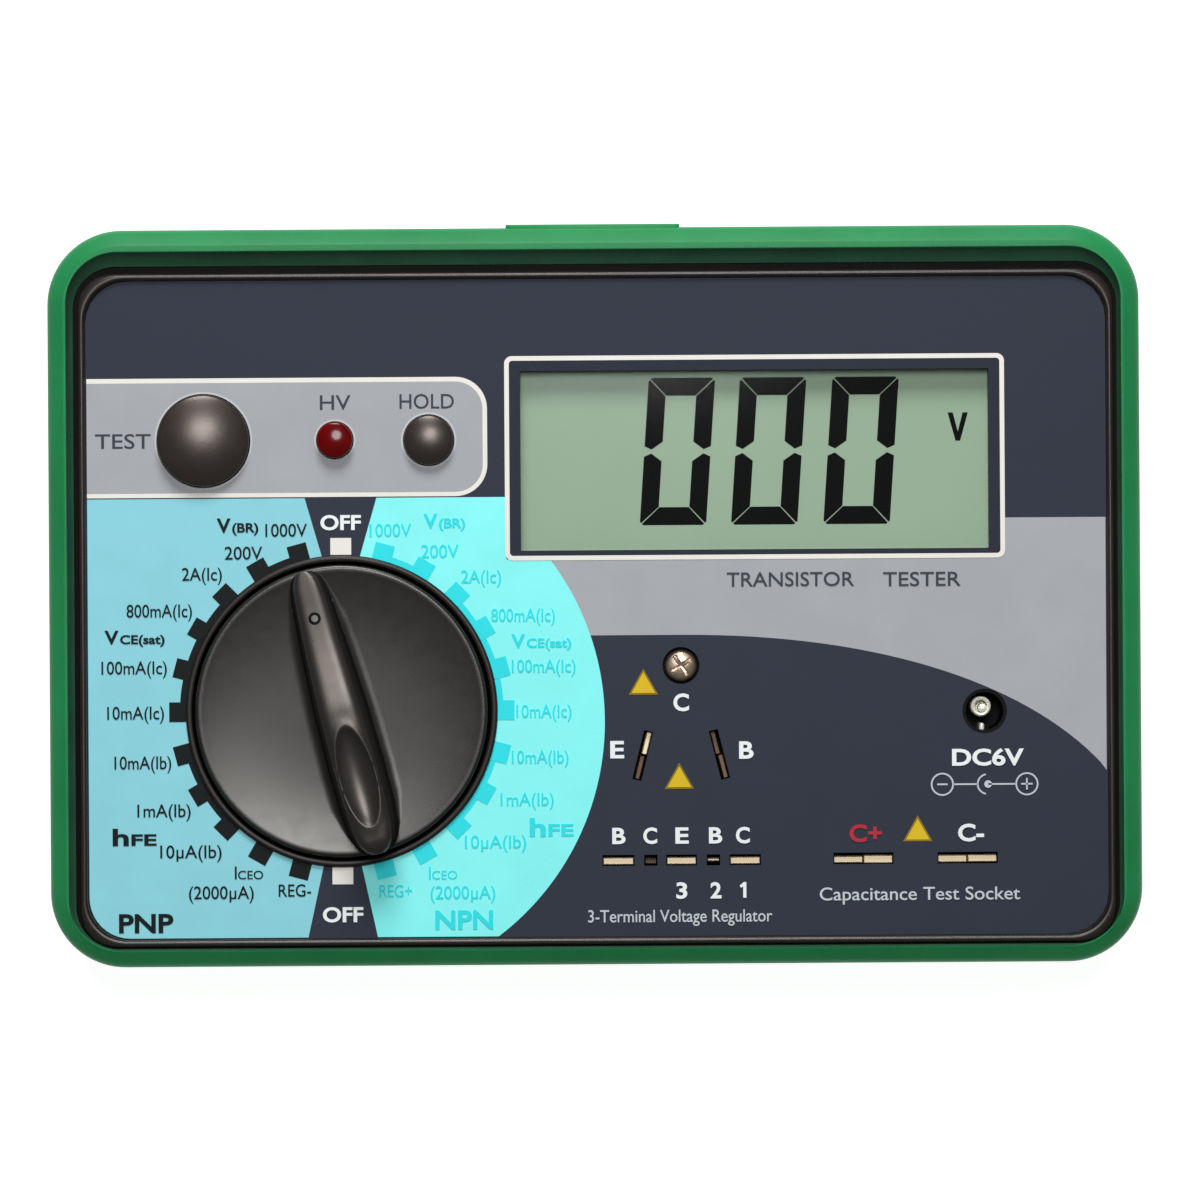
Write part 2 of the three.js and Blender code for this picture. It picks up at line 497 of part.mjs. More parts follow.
function powerJack() {
  const { x, y, bore, barrel, pin } = JACK;
  const leafSlot = block(x - 1.4, x + 1.4, y - 4.6, y - 2.6, 30, 38);
  const base = block(x - 6.5, x + 6.5, y - 6.5, y + 6.5, BOARD.top + 0.1, SOCKET.top);
  const body = minus(plus(base, disc(x, y, barrel, 37.6, 40.2, 32)), disc(x, y, bore, 30, 41, 28), leafSlot);
  add("power_jack", body, BLACK, 0.5);
  const tube = minus(disc(x, y, pin, 30.05, 39.2, 18), disc(x, y, 0.6, 36, 40, 10));
  add("power_jack_pin", tube, STEEL, 0.3, 1);
  const leaf = plus(
    block(x - 1, x + 1, y - 4.3, y - 3.9, 30.2, 37.4),
    block(x - 1, x + 1, y - 4.3, y - 2.7, 30.2, 30.6),
  );
  add("power_jack_spring", leaf, BRASS, 0.3, 1);
}

// ---- circuit board -----------------------------------------------------------------------------
function circuit() {
  const { x, y, top, thick } = BOARD;
  const holes = corners(POST.x, POST.y).map(([px, py]) => disc(px, py, 5.2, top - 5, top + 1));
  const mark = disc(KNOB.x, KNOB.y, 2, top - 5, top + 1);
  const sheet = prism(rounded(-x, x, -y, y, 6), top - thick, top);
  add("main_board", minus(sheet, ...holes, mark), BOARD_GREEN, 0.5);
  add("controller_chip", block(36, 52, -30, -14, top, top + 2.4), 0x1c1c1e, 0.5);
  const core = block(-38, -20, 12, 27, 12.5, top - thick);
  const waist = [block(-39, -33, 14, 25, 15, 23), block(-25, -19, 14, 25, 15, 23)];
  add("pulse_transformer", minus(core, ...waist), 0x4a4038, 0.6);
}

holster();
frontCase();
panelOverlay();
rearCase();
caseScrews();
rubberFeet();
tiltStand();
batteryCover();
cells();
batteryContacts();
display();
selector();
selectorInside();
button("test", TEST, DARK);
button("hold", HOLD, DARK);
lamp();
sockets();
powerJack();
circuit();

export default tester;
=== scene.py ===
import json
import math

import bpy
from mathutils import Matrix, Vector
from mathutils.geometry import tessellate_polygon

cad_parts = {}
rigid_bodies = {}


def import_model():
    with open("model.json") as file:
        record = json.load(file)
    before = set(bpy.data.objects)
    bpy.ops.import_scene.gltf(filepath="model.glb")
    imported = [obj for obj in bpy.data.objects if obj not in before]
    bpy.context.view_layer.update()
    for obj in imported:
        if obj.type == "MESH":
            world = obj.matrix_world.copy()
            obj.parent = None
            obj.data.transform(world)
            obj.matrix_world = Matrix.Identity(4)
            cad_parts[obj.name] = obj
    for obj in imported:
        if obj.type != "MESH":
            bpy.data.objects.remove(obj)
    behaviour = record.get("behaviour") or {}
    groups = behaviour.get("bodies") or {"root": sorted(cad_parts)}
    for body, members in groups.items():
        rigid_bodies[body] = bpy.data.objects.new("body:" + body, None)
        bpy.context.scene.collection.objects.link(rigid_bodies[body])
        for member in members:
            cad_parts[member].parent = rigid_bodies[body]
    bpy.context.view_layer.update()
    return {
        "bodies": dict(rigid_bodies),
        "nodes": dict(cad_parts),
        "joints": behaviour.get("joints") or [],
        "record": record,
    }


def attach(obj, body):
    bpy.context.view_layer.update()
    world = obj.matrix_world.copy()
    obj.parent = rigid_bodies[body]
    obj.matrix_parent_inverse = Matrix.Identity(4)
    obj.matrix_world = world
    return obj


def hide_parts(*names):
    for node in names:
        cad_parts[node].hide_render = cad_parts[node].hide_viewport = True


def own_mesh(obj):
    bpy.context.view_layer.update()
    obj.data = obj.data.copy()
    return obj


# The looks of a component tester that lies on its back. Sizes below are in millimetres from the middle
# of the case; at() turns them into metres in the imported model's frame.

MIDDLE_Y = 0.9  # the jacket reaches further at its top side than at its bottom side
CASE_FACE = 40.4
PANEL_TOP = 40.8
INK = 0.04  # height of one printed layer
INSET = 0.15  # the printed fields stop this far inside the panel's edge
PLACE = 15.0  # degrees from one place of the selector to the next
SLOT_FOOT = 31.0  # where the site screw and the contacts in the slots start

JACKET = dict(x=94.2, y0=-63.0, y1=64.2, r=12.9, back=1.5, rim=44.0)
PANEL = dict(x0=-87.7, x1=88.4, y0=-58.2, y1=55.4, r=7.2)
KNOB = dict(x=-43.8, y=-19.0, disc=25.25, hole=25.82, ring=26.93, turned=PLACE)
TEST = dict(x=-67.4, y=27.8, r=7.9, hole=8.15, top=44.0, bulge=23.0, lean=-0.06)
HOLD = dict(x=-28.5, y=27.7, r=4.3, hole=4.5, top=43.2, bulge=11.5, lean=0.0)
LAMP = dict(x=-44.7, y=27.8, r=3.1, hole=3.3, top=43.4, bulge=9.0)
SCREW = dict(x=14.8, y=-11.5, r=2.8, edge=39.4, top=40.3, turned=33.0)
JACK = dict(x=67.2, y=-19.7, top=39.8)
EMITTER = dict(x=8.1, y=-27.0, turned=-14.0)
BASE = dict(x=21.35, y=-26.9, turned=14.0)
ROW = dict(y=-45.1, x=(3.8, 9.4, 14.7, 20.2, 25.7), half=(2.6, 1.0, 2.5, 1.0, 2.55))
CAPS = dict(y=-45.0, x=(46.1, 64.1), half=5.05)
CELL = dict(y=-34.0, z=11.9, apart=15.6, pitch=50.4, start=-52.0)
TAB = dict(x1=-19.2, y0=18.8, y1=37.8, r=4.7, edge=0.8)  # the grey tab under the buttons
DISPLAY = dict(x0=-12.7, x1=68.2, y0=8.5, y1=39.5, glass=37.4)
FRAME = dict(x0=-15.4, x1=70.9, y0=6.8, y1=42.1, line=0.8)  # printed round the display
DIAL = dict(x=-44.9, y=-20.9, r=46.5)  # the bright field round the selector
TICK = dict(inner=26.9, band=27.95, outer=29.8, half=1.7)
BANDS = ((1, 2), (3, 6), (7, 9))  # ticks that a band joins, counted from the top
SMALL = (0.74, 0.66)  # width and height of a small letter beside a large one
LETTER_GAP = 0.07  # before the small letters, as a share of the font's size
GRAIN_DEPTH = 0.0001  # of the moulded grain, in metres
UNEVEN = 0.12  # share by which a material's roughness varies


def at(x, y, z):
    return Vector((x, y - MIDDLE_Y, z)) / 1000


def rgb(code):
    """A web colour as linear light."""
    parts = [int(code[i : i + 2], 16) / 255 for i in (0, 2, 4)]
    return [c / 12.92 if c < 0.04045 else ((c + 0.055) / 1.055) ** 2.4 for c in parts] + [1.0]


# ---- materials ---------------------------------------------------------------------------------
def surface(name, color, rough=0.5, metal=0.0, grain=0.0, grain_mm=0.25, vary=0.06, vary_mm=9.0, **sockets):
    """A principled material with slow variation of colour and gloss, and a fine moulded grain."""
    mat = bpy.data.materials.new(name)
    mat.use_nodes = True
    nodes, links = mat.node_tree.nodes, mat.node_tree.links
    shader = nodes["Principled BSDF"]
    shader.inputs["Metallic"].default_value = metal
    for socket, value in sockets.items():
        shader.inputs[socket.replace("_", " ")].default_value = value
    base = rgb(color)
    where = nodes.new("ShaderNodeTexCoord")
    blotch = nodes.new("ShaderNodeTexNoise")
    blotch.inputs["Scale"].default_value = 1000 / vary_mm
    blotch.inputs["Detail"].default_value = 3
    ramp = nodes.new("ShaderNodeValToRGB")
    for stop, factor in zip(ramp.color_ramp.elements, (1 - vary, 1 + vary)):
        stop.color = [min(c * factor, 1) for c in base[:3]] + [1]
    ramp.color_ramp.elements[0].position, ramp.color_ramp.elements[1].position = 0.3, 0.7
    gloss = nodes.new("ShaderNodeMapRange")
    gloss.inputs["To Min"].default_value = rough * (1 - UNEVEN)
    gloss.inputs["To Max"].default_value = rough * (1 + UNEVEN)
    links.new(where.outputs["Object"], blotch.inputs["Vector"])
    links.new(blotch.outputs["Fac"], ramp.inputs["Fac"])
    links.new(blotch.outputs["Fac"], gloss.inputs["Value"])
    links.new(ramp.outputs["Color"], shader.inputs["Base Color"])
    links.new(gloss.outputs["Result"], shader.inputs["Roughness"])
    if grain:
        fine = nodes.new("ShaderNodeTexNoise")
        fine.inputs["Scale"].default_value = 1000 / grain_mm
        bump = nodes.new("ShaderNodeBump")
        bump.inputs["Strength"].default_value = grain
        bump.inputs["Distance"].default_value = GRAIN_DEPTH
        links.new(where.outputs["Object"], fine.inputs["Vector"])
        links.new(fine.outputs["Fac"], bump.inputs["Height"])
        links.new(bump.outputs["Normal"], shader.inputs["Normal"])
    return mat


# ---- mesh helpers ------------------------------------------------------------------------------
def piece(name, points, faces, material, body, replaces=(), smooth=40):
    """A named mesh that rides on a body, points in metres. Edges up to smooth degrees are shaded smooth."""
    mesh = bpy.data.meshes.new(name)
    mesh.from_pydata([tuple(p) for p in points], [], faces)
    mesh.materials.append(material)
    if smooth:
        mesh.shade_smooth()
        mesh.set_sharp_from_angle(angle=math.radians(smooth))
    obj = bpy.data.objects.new(name, mesh)
    bpy.context.scene.collection.objects.link(obj)
    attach(obj, body)
    if replaces:
        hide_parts(*replaces)
    return obj


def rounded(x0, x1, y0, y1, r, n=20):
    """Outline of a rectangle with round corners, anticlockwise from the top right corner."""
    points = []
    corners = [(x1 - r, y1 - r), (x0 + r, y1 - r), (x0 + r, y0 + r), (x1 - r, y0 + r)]
    for corner, (cx, cy) in enumerate(corners):
        for i in range(n + 1):
            a = math.radians(90 * (corner + i / n))
            points.append((cx + r * math.cos(a), cy + r * math.sin(a)))
    return points


def circle(x, y, r, n=96):
    steps = [2 * math.pi * i / n for i in range(n)]
    return [(x + r * math.cos(a), y + r * math.sin(a)) for a in steps]


def arc(x, y, r, a0, a1, n):
    """n + 1 points from angle a0 to angle a1, in degrees."""
    steps = [math.radians(a0 + (a1 - a0) * i / n) for i in range(n + 1)]
    return [(x + r * math.cos(a), y + r * math.sin(a)) for a in steps]


def shifted(faces, first):
    """Faces for points that are counted from first on."""
    return [tuple(i + first for i in face) for face in faces]


def lattice(rows, n, ring=True, closed=False):
    """Faces between rows of n points. ring joins each row's two ends, closed the last row to the first."""
    return [(k * n + i, k * n + (i + 1) % n, (k + 1) % rows * n + (i + 1) % n, (k + 1) % rows * n + i)
            for k in range(rows if closed else rows - 1) for i in range(n if ring else n - 1)]


def lids(rows, n):
    """The two faces that close the first and the last ring of a lattice."""
    return [tuple(range(n))[::-1], tuple(range((rows - 1) * n, rows * n))]


def skin(rings, closed=False, caps=False):
    """Points and faces that join outlines of equal point count, each given with its height."""
    rows, n = len(rings), len(rings[0][0])
    points = [at(x, y, z) for outline, z in rings for x, y in outline]
    return points, lattice(rows, n, closed=closed) + (lids(rows, n) if caps else [])


def turned(profile, x, y, n=96):
    """Points and faces of a solid of revolution, from (radius, height) pairs."""
    return skin([(circle(x, y, max(r, 0.001), n), z) for r, z in profile])


def flat(figures, z):
    """Points and faces of flat figures at one height; a figure is its outline and then its holes."""
    points, faces = [], []
    for loops in figures:
        if len(loops) == 2 and len(loops[0]) == len(loops[1]):
            more, parts = skin([(loops[0], z), (loops[1], z)])
        else:
            more = [at(x, y, z) for loop in loops for x, y in loop]
            parts = tessellate_polygon([[Vector((x, y, 0)) for x, y in loop] for loop in loops])
        faces += shifted(parts, len(points))
        points += more
    return points, faces


def upward(obj):
    """Turns the faces of a flat figure so that they all look out of the panel."""
    for p in obj.data.polygons:
        if p.normal.z < 0:
            p.flip()
    obj.data.update()


def printed(name, figures, material, layer):
    """Flat ink figures in one colour."""
    points, faces = flat(figures, PANEL_TOP + INK * layer)
    upward(piece(name, points, faces, material, "tester_body", smooth=0))


# ---- lettering ---------------------------------------------------------------------------------
def glyphs(text, bold):
    """The flat mesh of a few letters in the built-in font, its left and right ends and its height."""
    curve = bpy.data.curves.new("line", "FONT")
    curve.body = text
    curve.offset = 0.028 if bold else 0.006
    curve.resolution_u = 4
    holder = bpy.data.objects.new("line", curve)
    bpy.context.scene.collection.objects.link(holder)
    mesh = bpy.data.meshes.new_from_object(holder.evaluated_get(bpy.context.evaluated_depsgraph_get()))
    bpy.data.objects.remove(holder)
    points = [(v.co.x, v.co.y) for v in mesh.vertices]
    faces = [tuple(p.vertices) for p in mesh.polygons]
    bpy.data.meshes.remove(mesh)
    xs, ys = zip(*points)
    return points, faces, (min(xs), max(xs), max(ys))


def line(text, bold):
    """One line of letters; those after an underscore are small. Its left end is at zero."""
    points, faces, end = [], [], 0.0
    for k, part in enumerate(text.split("_")):
        more, parts, (left, right, _) = glyphs(part, bold)
        wide, high = SMALL if k else (1.0, 1.0)
        faces += shifted(parts, len(points))
        points += [((x - left) * wide + end, y * high) for x, y in more]
        end += (right - left) * wide + LETTER_GAP
    return points, faces, end - LETTER_GAP


def lettering(name, lines, material, layer=4):
    """One mesh of many lines. A line is (text, centre x, centre y, width, capital height, bold)."""
    capital = {bold: glyphs("H", bold)[2][2] for bold in (False, True)}
    z = PANEL_TOP + INK * layer
    points, faces = [], []
    for text, x, y, width, high, bold in lines:
        more, parts, long = line(text, bold)
        sx, sy = width / long, high / capital[bold]
        faces += shifted(parts, len(points))
        points += [at(x - width / 2 + px * sx, y - high / 2 + py * sy, z) for px, py in more]
    upward(piece(name, points, faces, material, "tester_body", smooth=0))


# ---- jacket and rims ---------------------------------------------------------------------------
def make_jacket(mats):
    """The jacket's wall as one closed skin: outside, crowned rim, inner slope, hollow and back opening."""
    x, y0, y1, r, back, rim = (JACKET[k] for k in ("x", "y0", "y1", "r", "back", "rim"))
    heel = 1.4  # radius of the edge at the back
    ring = lambda d, z: (rounded(-x + d, x - d, y0 + d, y1 - d, r - d), z)
    turns = (0, 0.4, 0.8, 1.2, math.pi / 2)
    rings = [ring(heel * (1 - math.sin(a)), back + heel * (1 - math.cos(a))) for a in turns]
    # the crown's lines: how far in from the side, and how far below the top of the rim
    crown = ((0, 3.0), (0.1, 2.45), (0.28, 2.05), (0.6, 1.62), (1.0, 1.3), (1.6, 0.84), (2.1, 0.49),
             (2.5, 0.22), (2.75, 0.07), (2.9, 0.02))
    rings += [ring(d, rim - drop) for d, drop in crown]

    # boxes are left, right, bottom, top and corner radius
    lip, foot = (-90.9, 90.9, -60.2, 60.4, 8.9), (-89.9, 90.4, -59.9, 58.0, 7.4)
    hollow, opening = (-92.3, 92.3, -61.5, 61.5, 10.5), (-86.0, 86.0, -56.0, 56.0, 8.0)
    grow = lambda box, d: (box[0] - d, box[1] + d, box[2] - d, box[3] + d, box[4] + d)
    between = lambda t: tuple(a + (b - a) * t for a, b in zip(lip, foot))
    # the slope's lines: how far from the lip to the foot, and how far below the top of the rim
    slope = ((0.0, 0.04), (0.05, 0.22), (0.12, 0.7), (0.3, 1.6), (0.55, 2.3), (0.8, 2.85), (1.0, 3.15))
    rings += [(rounded(*between(t)), rim - drop) for t, drop in slope]
    rings += [(rounded(*hollow), CASE_FACE + 0.5), (rounded(*hollow), back + 2.5),
              (rounded(*opening), back + 2.4), (rounded(*opening), back + 0.3),
              (rounded(*grow(opening, 0.3)), back)]
    points, faces = skin(rings, closed=True)
    piece("jacket_shell", points, faces, mats["jacket"], "tester_body", ["holster"], 50)

    # painted shade: a darker, greyer skin over the inner slope, down to the case
    lining = [(rounded(*grow(between(t), -0.05)), rim - drop) for t, drop in slope[1:]]
    lining += [(rounded(*grow(foot, 0.9)), CASE_FACE + 0.2), (rounded(*grow(lip, 0.5)), rim - 0.9)]
    points, faces = skin(lining, closed=True)
    piece("jacket_slope_shade", points, faces, mats["slope"], "tester_body", smooth=50)

    tab = [(rounded(-15 + d, 15 - d, y1 - 1, y1 + 0.6 - d / 2, 0.25, 4), z)
           for d, z in ((1.0, 7.0), (0.1, 7.8), (0.0, 41.0), (0.6, 41.4))]
    points, faces = skin(tab, caps=True)
    piece("jacket_tab", points, faces, mats["jacket"], "tester_body")


def make_rims(mats):
    """Glossy ridge round the panel and raised ring round the selector."""
    x0, x1, y0, y1 = (PANEL[k] for k in ("x0", "x1", "y0", "y1"))
    # distance from the panel, height and corner radius of each line round the ridge
    ridge = ((1.35, CASE_FACE, 6.3), (1.33, 41.0, 6.3), (1.16, 41.36, 6.8), (0.94, 41.55, 7.2),
             (0.68, 41.62, 7.3), (0.42, 41.55, 7.3), (0.18, 41.3, 7.2), (0.05, 41.0, 7.2),
             (0.02, CASE_FACE, 7.2))
    rings = [(rounded(x0 - d, x1 + d, y0 - d, y1 + d, r), z) for d, z, r in ridge]
    points, faces = skin(rings, closed=True)
    piece("panel_ridge", points, faces, mats["ridge"], "tester_body")
    ring, hole = KNOB["ring"], KNOB["hole"]
    profile = [(ring, CASE_FACE), (ring, 41.2), (ring - 0.1, 41.42), (ring - 0.3, 41.54),
               (hole + 0.3, 41.54), (hole + 0.08, 41.42), (hole, 41.2), (hole, CASE_FACE - 2)]
    points, faces = turned(profile, KNOB["x"], KNOB["y"], 128)
    piece("dial_ring", points, faces, mats["ring"], "tester_body")


# ---- printed panel -----------------------------------------------------------------------------
def polar(r, angle, aside=0.0):
    """A point round the selector's axis. angle is anticlockwise from the panel's top, aside square to r."""
    c, s = math.cos(math.radians(angle)), math.sin(math.radians(angle))
    return (KNOB["x"] - s * r + c * aside, KNOB["y"] + c * r + s * aside)


def make_tab(mats):
    """Grey tab under the buttons with its white edge, open to the panel's left edge."""
    left = PANEL["x0"] + INSET

    def outline(grow):
        x1, y0, y1, r = TAB["x1"] + grow, TAB["y0"] - grow, TAB["y1"] + grow, TAB["r"] + grow
        corners = arc(x1 - r, y0 + r, r, -90, 0, 12) + arc(x1 - r, y1 - r, r, 0, 90, 12)
        return [(left, y0), *corners, (left, y1)]

    spot = lambda part, grow=0.0, n=96: circle(part["x"], part["y"], part["hole"] + grow, n)
    holes = [spot(TEST), spot(HOLD, n=48), spot(LAMP, n=48)]
    printed("print_tab_edge", [[outline(TAB["edge"]), *holes]], mats["white_ink"], 2)
    printed("print_tab", [[outline(0), *holes]], mats["grey_ink"], 3)
    rings = [[spot(part, 0.29), spot(part, -0.03)] for part in (TEST, HOLD, LAMP)]  # painted highlights: pale rings where the holes' cut edges catch light
    printed("hole_edge_highlights", rings, mats["edge_highlight"], 4)


def make_fields(mats):
    """Blue field on the dial's left, brighter on its right, parted by dark wedges above and below."""
    top, bottom, left = 17.8, PANEL["y0"] + INSET, PANEL["x0"] + INSET
    right = PANEL["x1"] - INSET
    rim = TICK["inner"] + 0.05
    neck = math.degrees(math.asin(3.3 / rim))  # half of a wedge where it meets the ring
    top_half, bottom_half = 6.2, 6.0  # of a wedge at its far end
    inner = lambda side: [polar(rim, side * (neck + (180 - 2 * neck) * i / 60)) for i in range(61)]

    r = PANEL["r"] - INSET
    corner = arc(left + r, bottom + r, r, 180, 270, 10)
    left_field = [(KNOB["x"] - top_half, top), (left, top), *corner, (KNOB["x"] - bottom_half, bottom)]
    printed("print_blue_field", [[left_field + inner(1)[::-1]]], mats["blue_ink"], 1)

    reach = lambda y: math.degrees(math.asin((y - DIAL["y"]) / DIAL["r"]))
    edge = lambda y0, y1, n: arc(DIAL["x"], DIAL["y"], DIAL["r"], reach(y0), reach(y1), n)
    # the corner of the display's frame covers the dial's edge
    lap_x, lap_y = FRAME["x0"] + 0.2, FRAME["y0"] + 0.2
    right_field = [(KNOB["x"] + bottom_half, bottom), *edge(bottom, lap_y, 50), (lap_x, lap_y),
                   (lap_x, top), (KNOB["x"] + top_half, top)]
    printed("print_cyan_field", [[right_field + inner(-1)]], mats["cyan_ink"], 1)

    # grey field right of the dial, below the display, ending in a long falling curve
    hill, pulls = [(88.2, -30.0)], ((88.4, -30.0), (76.0, -15.5), (50.0, -6.2), (15.0, -6.2))
    for i in range(1, 33):
        t = i / 32
        weights = ((1 - t) ** 3, 3 * t * (1 - t) ** 2, 3 * t * t * (1 - t), t**3)
        x, y = (sum(w * pull[axis] for w, pull in zip(weights, pulls)) for axis in (0, 1))
        hill.append((min(x, right), y))
    step_x, step_y = FRAME["x1"] - 0.5, 13.7  # beside the frame, the field reaches up to here
    foot = FRAME["y0"] + 0.4
    grey = hill + edge(pulls[-1][1], foot, 16) + [(step_x, foot), (step_x, step_y), (right, step_y)]
    printed("print_grey_field", [[grey]], mats["grey_ink"], 1)

    x0, x1, y0, y1, t = (FRAME[k] for k in ("x0", "x1", "y0", "y1", "line"))
    frame, inside = rounded(x0, x1, y0, y1, 1.3, 6), rounded(x0 + t, x1 - t, y0 + t, y1 - t, 0.6, 6)
    window = rounded(*(DISPLAY[k] for k in ("x0", "x1", "y0", "y1")), 0.05, 6)
    printed("print_display_line", [[frame, inside]], mats["white_ink"], 3)
    printed("print_display_field", [[inside, window]], mats["frame_ink"], 2)


def make_marks(mats):
    """Range ticks and bands round the selector, the off marks, triangles and the plug polarity sign."""
    def tick(angle, inner, outer, half):
        corners = ((inner, -half), (inner, half), (outer, half), (outer, -half))
        return [[polar(r, angle, aside) for r, aside in corners]]

    def band(side, first, last):
        steps = [side * PLACE * (first + (last - first) * i / 24) for i in range(25)]
        return [[polar(TICK["inner"], a) for a in steps] + [polar(TICK["band"], a) for a in steps[::-1]]]

    for name, side, ink in (("left", 1, "black_ink"), ("right", -1, "cyan_print")):
        ticks = [tick(side * PLACE * i, TICK["inner"], TICK["outer"], TICK["half"]) for i in range(1, 12)]
        printed(f"print_ticks_{name}", ticks, mats[ink], 3)
        printed(f"print_bands_{name}", [band(side, *ends) for ends in BANDS], mats[ink], 2)
    printed("print_off_marks", [tick(a, 27.0, 29.9, 1.8) for a in (0, 180)], mats["white_ink"], 3)

    def triangle(x, y, grow):
        half, low, high = 2.55 + grow, 1.9 + grow * 0.6, 2.6 + grow * 1.2
        return [[(x - half, y - low), (x + half, y - low), (x, y + high)]]

    places = ((8.3, -14.6), (14.4, -30.9), (55.5, -40.2))
    printed("print_triangle_edges", [triangle(*p, 0.0) for p in places], mats["amber_ink"], 2)
    printed("print_triangles", [triangle(*p, -0.5) for p in places], mats["yellow_ink"], 3)

    # minus in a ring, the plug's sleeve and pin, plus in a ring, joined by lines
    thin, y, minus, plug, plus = 0.14, -32.3, 59.8, 67.6, 74.4
    ring = lambda x: [circle(x, y, 1.85 + thin, 48), circle(x, y, 1.85 - thin, 48)]
    box = lambda x0, x1, y0, y1: [[(x0, y0), (x1, y0), (x1, y1), (x0, y1)]]
    dash = lambda x0, x1: box(x0, x1, y - thin, y + thin)
    sleeve = arc(plug, y, 1.7 + thin, 100, 260, 20) + arc(plug, y, 1.7 - thin, 260, 100, 20)
    sign = [ring(minus), ring(plus), [sleeve], [circle(plug + 0.1, y, 0.65, 24)],
            dash(61.7, 65.9), dash(67.7, 72.5), dash(58.9, 60.7), dash(73.4, 75.4),
            box(plus - thin, plus + thin, y - 1, y + 1)]
    printed("print_polarity", sign, mats["pale_ink"], 3)


def make_lettering(mats):
    """All the panel's labels, one mesh for each colour or group."""
    left = [
        ("V_(BR)", -61.6, 13.2, 7.2, 2.4, True), ("1000V", -53.2, 12.3, 7.2, 2.2, False),
        ("200V", -60.6, 8.4, 6.5, 2.2, False), ("2A(Ic)", -67.8, 4.8, 6.9, 2.2, False),
        ("800mA(Ic)", -75.2, -1.5, 11.3, 2.2, False), ("V_CE(sat)", -79.5, -6.0, 10.4, 2.3, True),
        ("100mA(Ic)", -79.6, -11.3, 11.3, 2.2, False), ("10mA(Ic)", -79.4, -19.1, 9.8, 2.2, False),
        ("10mA(Ib)", -78.2, -27.7, 9.8, 2.2, False), ("1mA(Ib)", -74.6, -36.0, 9.2, 2.2, False),
        ("h_FE", -79.7, -40.5, 7.6, 2.9, True), ("10µA(Ib)", -70.0, -43.1, 10.6, 2.2, False),
        ("I_CEO", -60.0, -46.8, 4.9, 2.2, False), ("(2000µA)", -64.8, -50.2, 11.2, 2.2, False),
        ("REG-", -52.1, -49.9, 5.6, 2.1, False), ("PNP", -77.8, -55.4, 9.4, 3.2, True),
    ]
    right = [
        ("1000V", -35.2, 12.2, 7.2, 2.2, False), ("V_(BR)", -25.9, 13.8, 7.2, 2.4, True),
        ("200V", -26.7, 8.5, 6.5, 2.2, False), ("2A(Ic)", -19.6, 4.1, 6.9, 2.2, False),
        ("800mA(Ic)", -12.4, -2.6, 11.0, 2.2, False), ("V_CE(sat)", -9.3, -7.0, 10.4, 2.3, True),
        ("100mA(Ic)", -8.9, -11.4, 11.0, 2.2, False), ("10mA(Ic)", -8.9, -19.2, 9.5, 2.2, False),
        ("10mA(Ib)", -9.6, -27.1, 9.8, 2.2, False), ("1mA(Ib)", -11.9, -34.4, 9.2, 2.2, False),
        ("h_FE", -7.7, -39.2, 7.6, 3.1, True), ("10µA(Ib)", -17.4, -41.7, 10.6, 2.2, False),
        ("I_CEO", -26.5, -47.0, 4.9, 2.2, False), ("(2000µA)", -23.1, -50.4, 11.2, 2.2, False),
        ("REG+", -34.7, -50.1, 5.6, 2.1, False), ("NPN", -22.9, -55.1, 10.0, 3.2, True),
    ]
    dark = [
        ("TEST", -81.3, 27.8, 9.6, 2.5, False), ("HV", -44.6, 34.3, 5.3, 2.5, False),
        ("HOLD", -28.8, 34.4, 9.4, 2.5, False), ("TRANSISTOR", 33.8, 3.3, 22.0, 2.4, False),
        ("TESTER", 56.5, 3.2, 13.4, 2.4, False),
    ]
    white = [
        ("OFF", -43.8, 13.6, 7.0, 2.5, True), ("OFF", -43.8, -54.1, 7.0, 2.5, True),
        ("C", 14.8, -17.8, 2.7, 2.9, True), ("E", 3.7, -25.9, 2.4, 2.9, True),
        ("B", 26.0, -26.1, 2.5, 2.9, True), ("B", 3.9, -40.8, 2.3, 2.7, True),
        ("C", 9.3, -40.8, 2.4, 2.7, True), ("E", 14.8, -40.8, 2.3, 2.7, True),
        ("B", 20.6, -40.8, 2.3, 2.7, True), ("C", 25.3, -40.8, 2.4, 2.7, True),
        ("3", 14.7, -50.3, 1.9, 2.7, True), ("2", 20.6, -50.3, 1.9, 2.7, True),
        ("C-", 64.7, -40.6, 4.5, 2.9, True), ("DC6V", 67.7, -27.6, 12.4, 2.8, True),
    ]
    small = [
        ("3-Terminal Voltage Regulator", 14.4, -54.7, 31.8, 2.1, False),
        ("Capacitance Test Socket", 55.8, -51.1, 34.6, 2.2, False),
    ]
    lettering("print_left_labels", left, mats["black_ink"])
    lettering("print_right_labels", right, mats["cyan_print"])
    lettering("print_dark_labels", dark, mats["dark_ink"])
    lettering("print_white_labels", white, mats["label_ink"])
    lettering("print_small_labels", small, mats["pale_ink"])
    lettering("print_plus_label", [("C+", 46.5, -40.6, 5.6, 2.9, True)], mats["red_ink"])
    x, y, high = 25.5, -50.3, 1.35  # a one with its flag
    one = [(x - 0.2, y - high), (x + 0.35, y - high), (x + 0.35, y + high), (x - 0.1, y + high),
           (x - 0.8, y + 0.75), (x - 0.55, y + 0.35), (x - 0.2, y + 0.65)]
    printed("print_one", [[one]], mats["label_ink"], 4)


